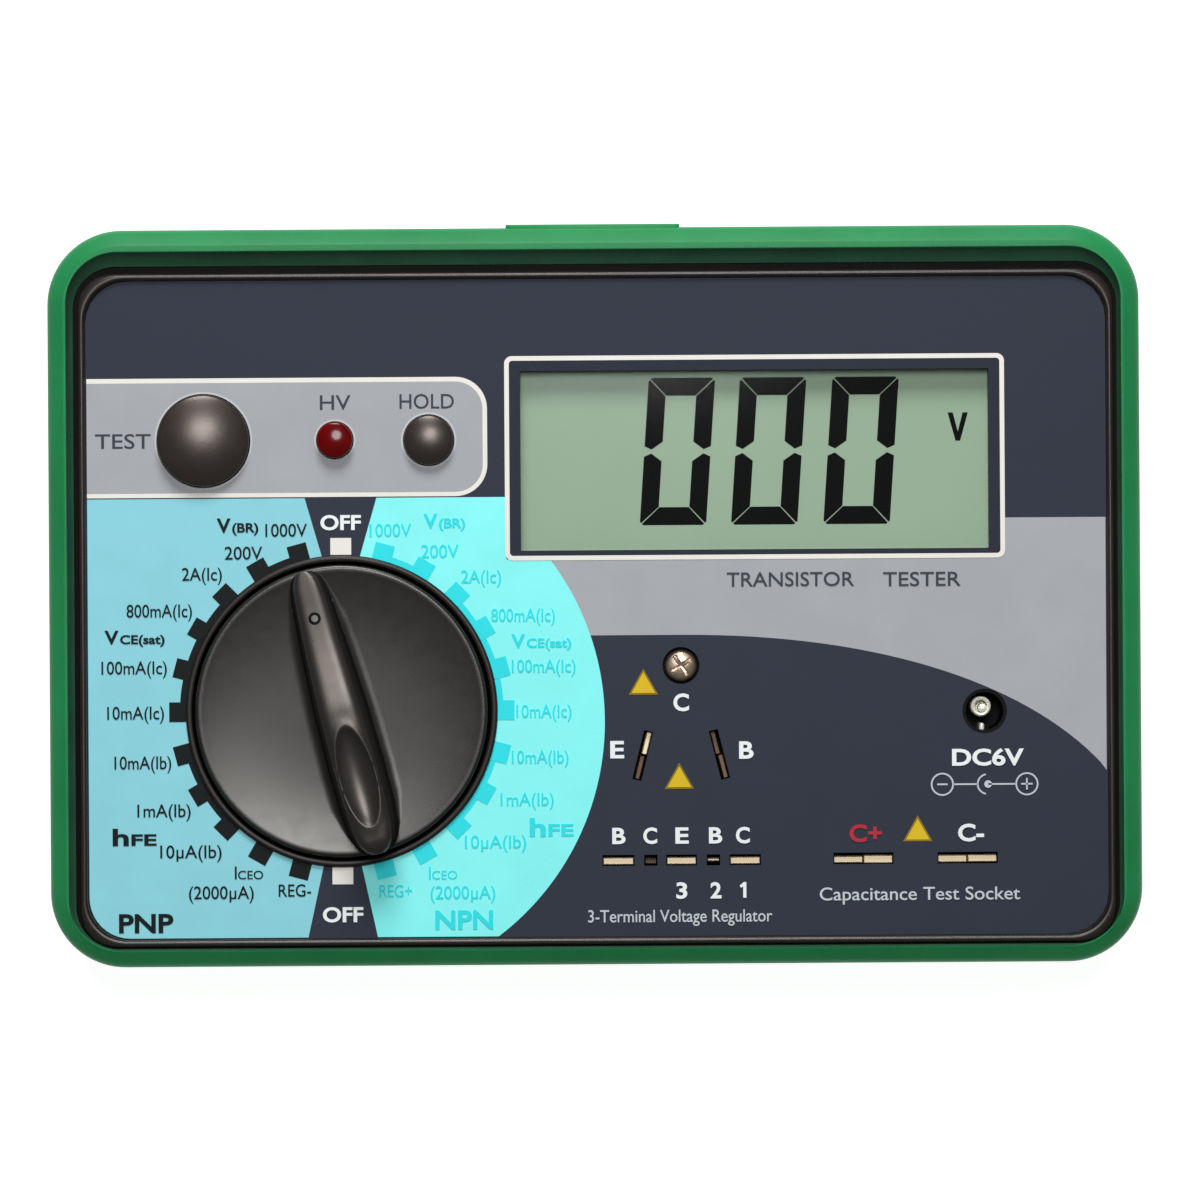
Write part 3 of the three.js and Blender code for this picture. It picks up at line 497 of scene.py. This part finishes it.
# ---- display -----------------------------------------------------------------------------------
def digit_zero(x, y):
    """Six slanted segments of a zero, its upper left corner at x, y."""
    high, wide, t, lean = 25.5, 11.5, 3.1, math.tan(math.radians(3.9))
    mid = -high / 2
    put = lambda px, py: (x + px + py * lean, y + py)
    top = [(0.6, 0), (0.37, -0.23), (t + 0.1, -t), (wide - t - 0.1, -t), (wide - 0.37, -0.23),
           (wide - 0.6, 0)]
    upper_left = [(0.23, -0.37), (0, -0.6), (0, mid + 0.9), (t * 0.4, mid + 0.35), (t, mid + 1.7),
                  (t, -t - 0.1)]
    flip_x = lambda points: [(wide - px, py) for px, py in points][::-1]
    flip_y = lambda points: [(px, -high - py) for px, py in points][::-1]
    quarter = [upper_left, flip_x(upper_left), flip_y(upper_left), flip_x(flip_y(upper_left))]
    return [[[put(px, py) for px, py in figure]] for figure in [top, flip_y(top), *quarter]]


def make_display(mats):
    """Three zeros and the unit V, dark on the display glass."""
    figures = [figure for x in (9.6, 25.4, 41.4) for figure in digit_zero(x, 38.3)]
    x0, x1, y0, y1, t = 61.3, 64.8, 27.1, 32.0, 0.9
    mid = (x0 + x1) / 2
    figures.append([[(x0, y1), (mid - 0.4, y0), (mid + 0.4, y0), (x1, y1), (x1 - t, y1), (mid, y0 + 1.6),
                     (x0 + t, y1)]])
    points, faces = flat(figures, DISPLAY["glass"] + 0.03)
    upward(piece("lcd_segments", points, faces, mats["segment"], "tester_body", smooth=0))


# ---- selector knob -----------------------------------------------------------------------------
def on_knob(x, s, z):
    """A place on the turned knob, x across its grip and s along it."""
    v = Matrix.Rotation(math.radians(KNOB["turned"]), 3, "Z") @ Vector((x, s, 0))
    return at(KNOB["x"] + v.x, KNOB["y"] + v.y, z)


def half_width(s):
    """Half the grip's width at s along it, from the broader tail to the narrower pointer end."""
    stations = ((-25.3, 0.0), (-25.15, 1.5), (-24.6, 2.6), (-23.3, 3.6), (-21.0, 4.3), (-17.0, 4.65),
                (-10.0, 4.75), (0.0, 4.55), (10.0, 4.05), (20.0, 3.35), (22.2, 3.05), (23.6, 2.6),
                (24.5, 1.85), (24.88, 1.0), (24.95, 0.0))
    for (s0, w0), (s1, w1) in zip(stations, stations[1:]):
        if s <= s1:
            return w0 + (w1 - w0) * (s - s0) / (s1 - s0)
    return 0.0


def grip_top(s, u, x):
    """Height of the grip's crowned top at s along it, u from -1 to 1 across it, x from its middle."""
    # how far s is past the places where the top starts to fall, two to the pointer and two to the tail
    run, tip, tail, end = max(0.0, s), max(0.0, s - 9), max(0.0, -s - 16), max(0.0, -s - 22.5)
    fall = 0.16 * (run - 3 * (1 - math.exp(-run / 3)))  # a straight slope with a soft start
    spine = 49.9 - fall - 0.005 * tip**2 - 0.004 * tail**2 - 0.08 * end**2
    edge = 2.2 * (1 - max(0.0, 1 - abs(u) ** 4.4) ** 0.7)
    reach = ((s + 11.5) / 8.8) ** 2 + (x / 3.1) ** 2  # 1 on the dish's edge
    dish = 1.3 * max(0.0, 1 - reach) ** 0.8
    lip = 0.1 * math.exp(-(((math.sqrt(reach) - 1) * 3.1 / 0.42) ** 2))
    return spine - edge - dish + lip


def disc_height(k):
    """Height of the selector's dished disc at k of its radius."""
    return 41.3 + 1.28 * k**3


def make_disc(mats):
    """The selector's dished disc on its flanged skirt."""
    r = KNOB["disc"]
    flange = 27.5
    skirt = [(0.0, 36.0), (flange, 36.0), (flange, 37.5), (r, 37.5), (r, 41.6), (r - 0.4, 41.65),
             (r - 0.6, 40.5), (0.0, 40.5)]
    points, faces = turned(skirt, KNOB["x"], KNOB["y"], 128)
    # the skirt shows only through the gap round the disc, so it is painted near-black as shade
    piece("selector_skirt", points, faces, mats["shade"], "selector", smooth=35)
    profile = [(0.0, 39.6), (r - 0.1, 39.6), (r - 0.1, 41.5), (r, 41.7), (r, 42.0), (r - 0.1, 42.26),
               (r - 0.32, 42.44), (r - 0.65, 42.5)]
    profile += [(r * k, disc_height(k)) for k in (0.95, 0.9, 0.8, 0.7, 0.6, 0.5, 0.4, 0.3, 0.2, 0.1, 0.0)]
    points, faces = turned(profile, KNOB["x"], KNOB["y"], 128)
    piece("selector_disc", points, faces, mats["knob"], "selector", ["selector_knob"], 35)


def make_grip(mats):
    """The bar grip: rows across it, each up from the disc in a cove, over the crown and down again."""
    half, middle = 25.12, -0.17  # half of its length, and its middle along the knob
    along, across, curve = 200, 64, 8  # steps along the grip, over its crown and up its cove
    points = []
    for i in range(along + 1):
        s = half * math.cos(math.pi * i / along) + middle
        w = max(half_width(s), 0.05)
        crest = w * 0.96
        cove = 2.2 * min(1.0, max(0.0, (24.3 - abs(s)) / 9))  # its width, none at the ends
        side = [(w * 1.03 + cove, s, 40.2)]
        for j in range(curve + 1):
            x = w * 1.03 + cove * (1 - j / curve)
            lift = 0.18 * cove * (j / curve) ** 3
            side.append((x, s, disc_height(math.hypot(x, s) / KNOB["disc"]) + lift))
        side += [(w * 1.02, s, grip_top(s, 1, w) - 2.6), (w, s, grip_top(s, 1, w) - 1.0)]
        crown = [math.cos(math.pi * j / across) for j in range(across + 1)]
        row = side + [(crest * u, s, grip_top(s, u, crest * u)) for u in crown]
        row += [(-x, s, z) for x, s, z in side[::-1]]
        points += [on_knob(*p) for p in row]
    n = len(row)
    grip = piece("selector_grip", points, lattice(along + 1, n, ring=False), mats["grip"], "selector",
                 smooth=60)
    grip.data.materials.append(mats["knob"])
    grip.data.materials.append(mats["grip_side"])
    # faces counted in from either end of a row: the cove looks like the disc, the steep sides are matt
    cove_faces, side_faces = curve + 1, 25
    for polygon in grip.data.polygons:
        inward = min(polygon.index % (n - 1), n - 2 - polygon.index % (n - 1))
        polygon.material_index = 1 if inward < cove_faces else 2 if inward < side_faces else 0


def make_pointer_dot(mats):
    """The pointer's dot: a dark ring and a grey middle that follow the grip's slope."""
    n, middle = 32, 16.6
    edge = [(1.1, -0.2), (1.08, 0.04), (0.95, 0.08), (0.65, 0.06), (0.55, -0.1)]
    dot = [(0.62, -0.1), (0.55, 0.03), (0.3, 0.05), (0.001, 0.05)]
    for name, profile, look in (("pointer_dot_edge", edge, "segment"), ("pointer_dot", dot, "dot")):
        points = []
        for r, lift in profile:
            for i in range(n):
                a = 2 * math.pi * i / n
                x, s = r * math.cos(a), middle + r * math.sin(a)
                points.append(on_knob(x, s, grip_top(s, x / (half_width(s) * 0.96), x) + lift))
        piece(name, points, lattice(len(profile), n), mats[look], "selector")


# ---- buttons, lamp and springs -----------------------------------------------------------------
def cap(r, top, bulge, edge=0.5):
    """Profile of a gently domed top, from its rounded edge to its middle. bulge is the dome's radius."""
    tilt = math.asin((r - edge) / (bulge - edge))
    x, z = bulge * math.sin(tilt), top - bulge * (1 - math.cos(tilt))
    turns = [math.pi / 2 + (tilt - math.pi / 2) * i / 6 for i in range(6)]
    rim = [(x + edge * (math.sin(a) - math.sin(tilt)), z - edge * (math.cos(tilt) - math.cos(a)))
           for a in turns]
    steps = [tilt * (1 - i / 14) for i in range(15)]
    return rim + [(bulge * math.sin(a), top - bulge * (1 - math.cos(a))) for a in steps]


def make_buttons(mats):
    """The two push buttons, each with its stem and flange, and the lamp between them."""
    for name, b in (("test", TEST), ("hold", HOLD)):
        r = b["r"]
        profile = [(0.0, 33.4), (1.6, 33.4), (1.6, 35.8), (r + 1.2, 35.8), (r + 1.2, 37.2), (r, 37.2)]
        points, faces = turned(profile + cap(r, b["top"], b["bulge"]), b["x"], b["y"])
        middle = at(b["x"], 0, b["top"] - 3)  # the cap leans about this height
        points = [p + Vector((0, 0, (p.x - middle.x) * b["lean"])) if p.z > middle.z else p for p in points]
        piece(f"{name}_cap", points, faces, mats["button"], f"{name}_button",
              [f"{name}_button"], 50)
    x, y, r, top = (LAMP[k] for k in ("x", "y", "r", "top"))
    profile = [(0.0, 33.0), (3.6, 33.0), (3.6, 34.0), (r, 34.0)] + cap(r, top, LAMP["bulge"])
    points, faces = turned(profile, x, y, 64)
    piece("lamp_lens", points, faces, mats["lamp"], "tester_body", ["test_lamp"], 50)


def make_springs(mats):
    """The coil spring under each button."""
    wire, radius, low, high, turns, travel = 0.25, 2.5, 31.5, 35.7, 4, 1.2
    steps, n = turns * 24, 10
    for name, b in (("test", TEST), ("hold", HOLD)):
        x, y, points = b["x"], b["y"], []
        for i in range(steps + 1):
            a = 2 * math.pi * turns * i / steps
            z = low + wire + (high - low - 2 * wire) * i / steps
            for j in range(n):
                c = 2 * math.pi * j / n
                out = radius + wire * math.cos(c)
                points.append(at(x + out * math.cos(a), y + out * math.sin(a), z + wire * math.sin(c)))
        faces = [(i * n + j, (i + 1) * n + j, (i + 1) * n + (j + 1) % n, i * n + (j + 1) % n)
                 for i in range(steps) for j in range(n)]
        faces += [lid[::-1] for lid in lids(steps + 1, n)]
        spring = piece(f"{name}_coil", points, faces, mats["steel"], "tester_body",
                       [f"{name}_spring"], 50)
        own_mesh(spring)


# ---- sockets and contacts ----------------------------------------------------------------------
def make_screw(mats):
    """Domed screw head with a cross recess, on its shank."""
    x, y, r, edge, top = (SCREW[k] for k in ("x", "y", "r", "edge", "top"))
    slot, reach, slant, deep = 0.34, 1.95, 0.12, 0.9  # recess: half width, half length, wall, depth
    turn = math.radians(SCREW["turned"])
    rounds, around = 26, 96

    def height(rr, a):
        px, py = rr * math.cos(a - turn), rr * math.sin(a - turn)
        arms = [(slot - abs(aside)) / slant if abs(run) < reach else -1
                for aside, run in ((px, py), (py, px))]
        cut = min(max(max(arms), 0.0), 1.0)
        dome = (top - edge) * math.sqrt(max(0.0, 1 - (rr / r) ** 2)) ** 0.9
        return edge + dome - deep * cut * (1 - rr / 4)

    shank = [(1.5, SLOT_FOOT), (1.5, 37.8), (r, 37.8), (r, edge)]
    points, _ = turned(shank, x, y, around)
    for k in range(1, rounds + 1):
        rr = r * (1 - (k / rounds)) + 0.001
        for i in range(around):
            a = 2 * math.pi * i / around
            points.append(at(x + rr * math.cos(a), y + rr * math.sin(a), height(rr, a)))
    piece("site_screw", points, lattice(len(shank) + rounds, around), mats["screw"], "tester_body",
          ["collector_screw"], 35)


def make_jack(mats):
    """Sleeve pin of the power socket with its rounded end, bore and core, and the sprung tongue below."""
    x, y, top, out, bore = JACK["x"] - 0.6, JACK["y"] + 0.8, JACK["top"], 1.75, 1.1
    profile = [(out, 30.05), (out, top - 0.4), (1.66, top - 0.12), (1.45, top), (1.22, top - 0.1),
               (bore, top - 0.35), (bore, 35.5), (0.0, 35.5)]
    points, faces = turned(profile, x, y, 48)
    piece("jack_pin", points, faces, mats["pin"], "tester_body", ["power_jack_pin"], 45)
    core = [(0.0, 35.6), (0.75, 35.6), (0.75, top - 0.3)] + cap(0.75, top + 0.1, 1.3, 0.2)
    points, faces = turned(core, x + 0.32, y - 0.3, 32)
    piece("jack_pin_core", points, faces, mats["pin"], "tester_body", smooth=45)
    x, y = JACK["x"] - 0.4, JACK["y"] - 2.75
    tongue = [(rounded(x - 0.45 + d, x + 0.45 - d, y - 0.75 + d, y + 0.75 - d, 0.43 - d, 6), z)
              for d, z in ((0.0, 30.3), (0.0, 38.3), (0.06, 38.55), (0.18, 38.7), (0.36, 38.76))]
    points, faces = skin(tongue, caps=True)
    piece("jack_tongue", points, faces, mats["pin"], "tester_body", ["power_jack_spring"])


def fingers(name, site, strips, material, replaces):
    """Sprung contact strips in a slot: each has its ends along the slot, its sides across it, the height
    of its folded top and how far that top leans, along and across."""
    turn = Matrix.Rotation(math.radians(site["turned"]), 3, "Z")
    points, faces = [], []
    for s0, s1, u0, u1, top, along, across in strips:
        section = [(u0, SLOT_FOOT), (u0, top - 0.3), (u0 + 0.08, top - 0.1), (u0 + 0.2, top),
                   (u1 - 0.2, top), (u1 - 0.08, top - 0.1), (u1, top - 0.3), (u1, SLOT_FOOT)]
        rows, n = (s0, s0 + 0.1, s1 - 0.1, s1), len(section)
        faces += shifted(lattice(len(rows), n) + lids(len(rows), n), len(points))
        for s in rows:
            drop = 0.15 if s in (s0, s1) else 0.0
            for u, z in section:
                lean = along * (s - (s0 + s1) / 2) + across * (u - (u0 + u1) / 2) - drop
                v = turn @ Vector((u, s, 0))
                points.append(at(site["x"] + v.x, site["y"] + v.y, z + (0 if z == SLOT_FOOT else lean)))
    piece(name, points, faces, material, "tester_body", replaces, 35)


def make_contacts(mats):
    """The contacts that show in the slots; the emitter's lower finger is painted darker than its upper one,
    as painted shade.
    """
    fingers("emitter_finger_upper", EMITTER, [(0.25, 4.2, -0.3, 0.68, 39.7, -0.14, 0)], mats["bright"],
            ["emitter_contact"])
    fingers("emitter_finger_lower", EMITTER, [(-4.2, -0.1, -0.45, 0.5, 38.9, -0.1, 0.1)], mats["shaded_brass"], [])
    strips = [(0.1, 4.2, -0.65, 0.3, 39.0, -0.1, -0.1), (-4.2, -0.1, -0.35, 0.6, 39.2, -0.12, 0)]
    fingers("base_fingers", BASE, strips, mats["shaded_brass"], ["base_contact"])
    for i, (x, half) in enumerate(zip(ROW["x"], ROW["half"]), 1):
        site = dict(x=x, y=ROW["y"], turned=90.0)
        top, look = (37.0, "shaded_brass") if i == 2 else (39.6, "bright")  # the second one sits deep in its slot, in painted shade
        sides = (-0.3, 0.3) if i == 4 else (-0.82, 0.5)
        strip = (-half, half, *sides, top, 0, -0.14)
        fingers(f"row_leaf_{i}", site, [strip], mats[look], [f"row_contact_{i}"])
    for x, label, step in zip(CAPS["x"], ("plus", "minus"), (0.12, 0.0)):
        site, half = dict(x=x, y=CAPS["y"], turned=90.0), CAPS["half"]
        strips = [(0.1, half, -0.85, 0.5 - step, 39.5, 0.01, -0.14),
                  (-half, -0.1, -0.8 - step, 0.55, 39.7, 0, -0.12)]
        fingers(f"capacitor_leaves_{label}", site, strips, mats["bright"], [f"capacitor_contact_{label}"])


def make_cells(mats):
    """The four cells in their two rows: a wrapped can with a banded end, a steel cap and a rimmed base."""
    # along the cell and out from its axis
    base = [(0.0, 0.001), (0.0, 4.6), (0.12, 5.0), (0.5, 5.2), (0.5, 6.2)]
    wrap = [(0.3, 6.45), (0.12, 6.7), (0.2, 6.95), (0.6, 7.1), (35.0, 7.1), (47.4, 7.1), (47.8, 6.95),
            (47.95, 6.6)]
    steel = [(47.8, 6.2), (47.9, 5.4), (48.2, 4.0), (48.3, 3.1), (48.6, 2.75), (49.6, 2.7), (49.9, 2.5),
             (50.0, 2.1), (50.0, 0.001)]
    profile, n = base + wrap + steel, 48
    dark = 4  # of the wrap's rings of faces; the rest, next to the cap, are gold
    angles = [2 * math.pi * i / n for i in range(n)]
    for number in range(4):
        way = 1 if number < 2 else -1  # each row looks the other way
        start = way * (number % 2 * CELL["pitch"] + CELL["start"])
        y = CELL["y"] - way * CELL["apart"] / 2
        points = [at(start + way * s, y + r * math.cos(a), CELL["z"] + way * r * math.sin(a))
                  for s, r in profile for a in angles]
        cell = piece(f"cell_{number + 1}", points, lattice(len(profile), n), mats["steel"], "tester_body",
                     [f"battery_{number + 1}"], 35)
        cell.data.materials.append(mats["wrap"])
        cell.data.materials.append(mats["band"])
        for polygon in cell.data.polygons:
            k = polygon.index // n - len(base)
            polygon.material_index = (1 if k < dark else 2) if 0 <= k < len(wrap) else 0


# ---- carried-over CAD nodes --------------------------------------------------------------------
def dress_nodes(nodes, mats):
    """Gives each kept CAD node its material, softened edges and smooth round faces."""
    looks = {
        "front_case": "bezel", "rear_case": "case", "battery_cover": "case", "tilt_stand": "case",
        "panel_overlay": "navy_ink", "lcd_window": "pane", "lcd_glass": "lcd", "lcd_holder": "ivory",
        "lcd_rubber_strip": "strip", "selector_rotor": "ivory", "rubber_foot": "rubber",
        "main_board": "board", "controller_chip": "chip", "pulse_transformer": "winding",
        "battery_contact": "steel", "battery_link": "steel", "battery_cover_screw": "steel",
        "case_screw": "steel", "rotor_screw": "steel", "detent": "steel", "rotor_contact": "brass",
        "transistor_socket": "socket", "row_socket": "socket", "capacitor_socket": "socket",
        "power_jack": "socket", "test_switch": "chip", "hold_switch": "chip",
    }
    for name, obj in nodes.items():
        start = max((s for s in looks if name.startswith(s)), key=len, default=None)
        if start is None or obj.hide_render:
            continue
        obj.data.materials.clear()
        obj.data.materials.append(mats[looks[start]])
        obj.data.shade_smooth()
        obj.data.set_sharp_from_angle(angle=math.radians(32))
        if name in ("rear_case", "battery_cover", "tilt_stand"):
            bevel = obj.modifiers.new("edges", "BEVEL")
            bevel.width, bevel.segments, bevel.limit_method = 0.00015, 2, "ANGLE"
            bevel.angle_limit = math.radians(40)


def make_materials():
    """Every material by a short name."""
    satin = dict(grain_mm=0.3, vary_mm=2.5, Specular_IOR_Level=0.58, Specular_Tint=(1.0, 0.99, 0.95, 1.0))
    warm = dict(grain_mm=0.3, vary_mm=2.5, Specular_IOR_Level=0.85, Specular_Tint=(1.0, 0.9, 0.82, 1.0))
    dusky = dict(grain_mm=0.3, vary_mm=2.5, Specular_IOR_Level=0.78, Specular_Tint=(1.0, 0.87, 0.79, 1.0))
    ink = dict(rough=0.5, grain=0.12, grain_mm=0.5, vary=0.03, Specular_IOR_Level=0.08)
    inks = {
        "navy_ink": "333845", "frame_ink": "2c313d", "grey_ink": "aaadb2", "white_ink": "efece4",
        # edge_highlight is no ink: it paints the light caught by the holes' cut edges
        "label_ink": "f1f6f7", "edge_highlight": "c6c9cc", "pale_ink": "c4ced4", "blue_ink": "8fd6e2",
        "cyan_ink": "8cfcfa", "cyan_print": "36e4ec", "black_ink": "1a1e1f", "dark_ink": "40464c",
        "red_ink": "b83240", "yellow_ink": "e0bd2a", "amber_ink": "8f7524",
    }
    return {
        "jacket": surface("jacket_green", "1c8249", 0.45, grain=0.3, grain_mm=0.4, vary=0.08, vary_mm=14,
                          Specular_IOR_Level=0.22),
        # the inner slope's green, darkened and greyed as painted shade
        "slope": surface("slope_painted_shade", "2f5e44", 0.5, grain=0.3, grain_mm=0.4, vary=0.12,
                         Specular_IOR_Level=0.4),
        # the front case: a darker, duller copy of the case's black, painted shade for the narrow groove
        # round the panel
        "bezel": surface("bezel_painted_shade", "0b0908", 0.45, grain=0.1, Specular_IOR_Level=0.05),
        "case": surface("case_black", "120f0d", 0.35, grain=0.12, grain_mm=0.5),
        "ridge": surface("ridge_black", "2c2421", 0.33, grain=0.05),
        "ring": surface("ring_black", "1c1613", 0.4, grain=0.08, Specular_IOR_Level=0.35),
        **{name: surface(name, color, **ink) for name, color in inks.items()},
        "pane": surface("clear_pane", "141a16", 0.06, vary=0.0, Alpha=0.04, IOR=1.45),
        "lcd": surface("lcd_grey", "a3bda3", 0.4, vary=0.03, vary_mm=25, Specular_IOR_Level=0.1),
        "segment": surface("lcd_dark", "080a09", 0.5, vary=0.1, Specular_IOR_Level=0.05),
        "knob": surface("knob_satin", "1f1d1b", 0.29, grain=0.06, **satin),
        "grip": surface("grip_satin", "1f1d1c", 0.34, grain=0.08, **warm),
        "grip_side": surface("grip_side", "24211f", 0.6, grain=0.12, grain_mm=0.3, Specular_IOR_Level=0.0),
        "button": surface("button_satin", "272220", 0.3, grain=0.08, **dusky),
        "shade": surface("shade_black", "080706", 0.8, vary=0.1, Specular_IOR_Level=0.05),
        "dot": surface("dot_grey", "625e5b", 0.4),
        "lamp": surface("lamp_red", "620002", 0.14, vary=0.15, vary_mm=3, Specular_IOR_Level=0.3),
        "ivory": surface("ivory_plastic", "e6e2d6", 0.5, grain=0.1),
        "socket": surface("socket_black", "0b0908", 0.5, grain=0.1, Specular_IOR_Level=0.12),
        "brass": surface("contact_brass", "d8c4a2", 0.34, 1.0, grain=0.2, grain_mm=0.8, vary=0.12,
                         vary_mm=2),
        "bright": surface("contact_bright", "cdbb9c", 0.5, 0.5, grain=0.1, grain_mm=2.0, vary=0.12,
                          vary_mm=3),
        # a darker copy of the contacts' brass: painted shade for leaves deep in their slots
        "shaded_brass": surface("contact_painted_shade", "5a4534", 0.5, 0.6, grain=0.1, grain_mm=2.0, vary=0.25, vary_mm=3),
        # the pin's own pale metal, lightened further as painted highlight so pin and tongue stay bright in
        # the shaded bore
        "pin": surface("pin_metal_and_highlight", "fff6e8", 0.35, 0.25, vary=0.08, vary_mm=2, Specular_IOR_Level=1.0),
        "screw": surface("screw_bright", "b9a692", 0.34, 0.9, grain=0.2, grain_mm=0.8, vary=0.15,
                         vary_mm=1.5),
        "steel": surface("bright_steel", "b8bcc0", 0.3, 1.0, grain=0.1, vary=0.08, vary_mm=3),
        "rubber": surface("foot_rubber", "1a1a1a", 0.85, grain=0.4),
        "strip": surface("strip_rubber", "b98aa0", 0.8, grain=0.2),
        "board": surface("circuit_board", "2c6b3f", 0.35, grain=0.15),
        "chip": surface("component_black", "1c1c1e", 0.5, grain=0.2),
        "winding": surface("winding", "8a6a30", 0.5, grain=0.3, grain_mm=0.6),
        "band": surface("cell_band", "a9803c", 0.3, 0.6, grain=0.05),
        "wrap": surface("cell_wrap", "17191d", 0.28, grain=0.05),
    }


# ---- set ---------------------------------------------------------------------------------------
def softbox(name, place, size, watts):
    """A round lamp that faces the tester."""
    light = bpy.data.lights.new(name, "AREA")
    light.shape, light.size, light.energy = "DISK", size, watts
    obj = bpy.data.objects.new(name, light)
    bpy.context.scene.collection.objects.link(obj)
    obj.location = place
    obj.rotation_euler = (Vector((0, 0, 0.03)) - Vector(place)).to_track_quat("-Z", "Y").to_euler()


def make_set():
    """White floor, dim white surroundings, two lamps and the camera straight above, in metres."""
    scene = bpy.context.scene
    scene.view_settings.view_transform = "Standard"
    world = bpy.data.worlds.new("studio")
    world.use_nodes = True
    world.node_tree.nodes["Background"].inputs["Color"].default_value = (1, 1, 1, 1)
    world.node_tree.nodes["Background"].inputs["Strength"].default_value = 0.12
    scene.world = world

    mesh = bpy.data.meshes.new("floor")
    mesh.from_pydata([(-3, -3, 0), (3, -3, 0), (3, 3, 0), (-3, 3, 0)], [], [(0, 1, 2, 3)])
    glow = dict(Emission_Color=(1, 1, 1, 1), Emission_Strength=0.93)
    mesh.materials.append(surface("floor_white", "a8a8a8", 0.9, vary=0.0, **glow))
    floor = bpy.data.objects.new("floor", mesh)
    scene.collection.objects.link(floor)

    softbox("low_key", (-0.05, 0.9, 0.66), 0.5, 9.5)
    softbox("high_fill", (0.0, 0.24, 1.05), 0.36, 4.6)

    camera = bpy.data.objects.new("camera", bpy.data.cameras.new("camera"))
    scene.collection.objects.link(camera)
    distance, view, sensor = 1.1, 0.2072, 36  # view is the width in sight at the panel
    camera.data.sensor_width = sensor
    camera.data.lens = sensor * distance / view
    camera.location = at(0.9, -0.1, PANEL_TOP) + Vector((0, 0, distance))
    camera.rotation_euler = (0, 0, math.radians(-0.37))
    camera.data.clip_end = 10
    scene.camera = camera


def main():
    """Loads the frame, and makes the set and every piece."""
    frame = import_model()
    mats = make_materials()
    make_set()
    for make in (make_jacket, make_rims, make_tab, make_fields, make_marks, make_lettering, make_display,
                 make_disc, make_grip, make_pointer_dot, make_buttons, make_springs, make_screw, make_jack,
                 make_contacts, make_cells):
        make(mats)
    dress_nodes(frame["nodes"], mats)


main()
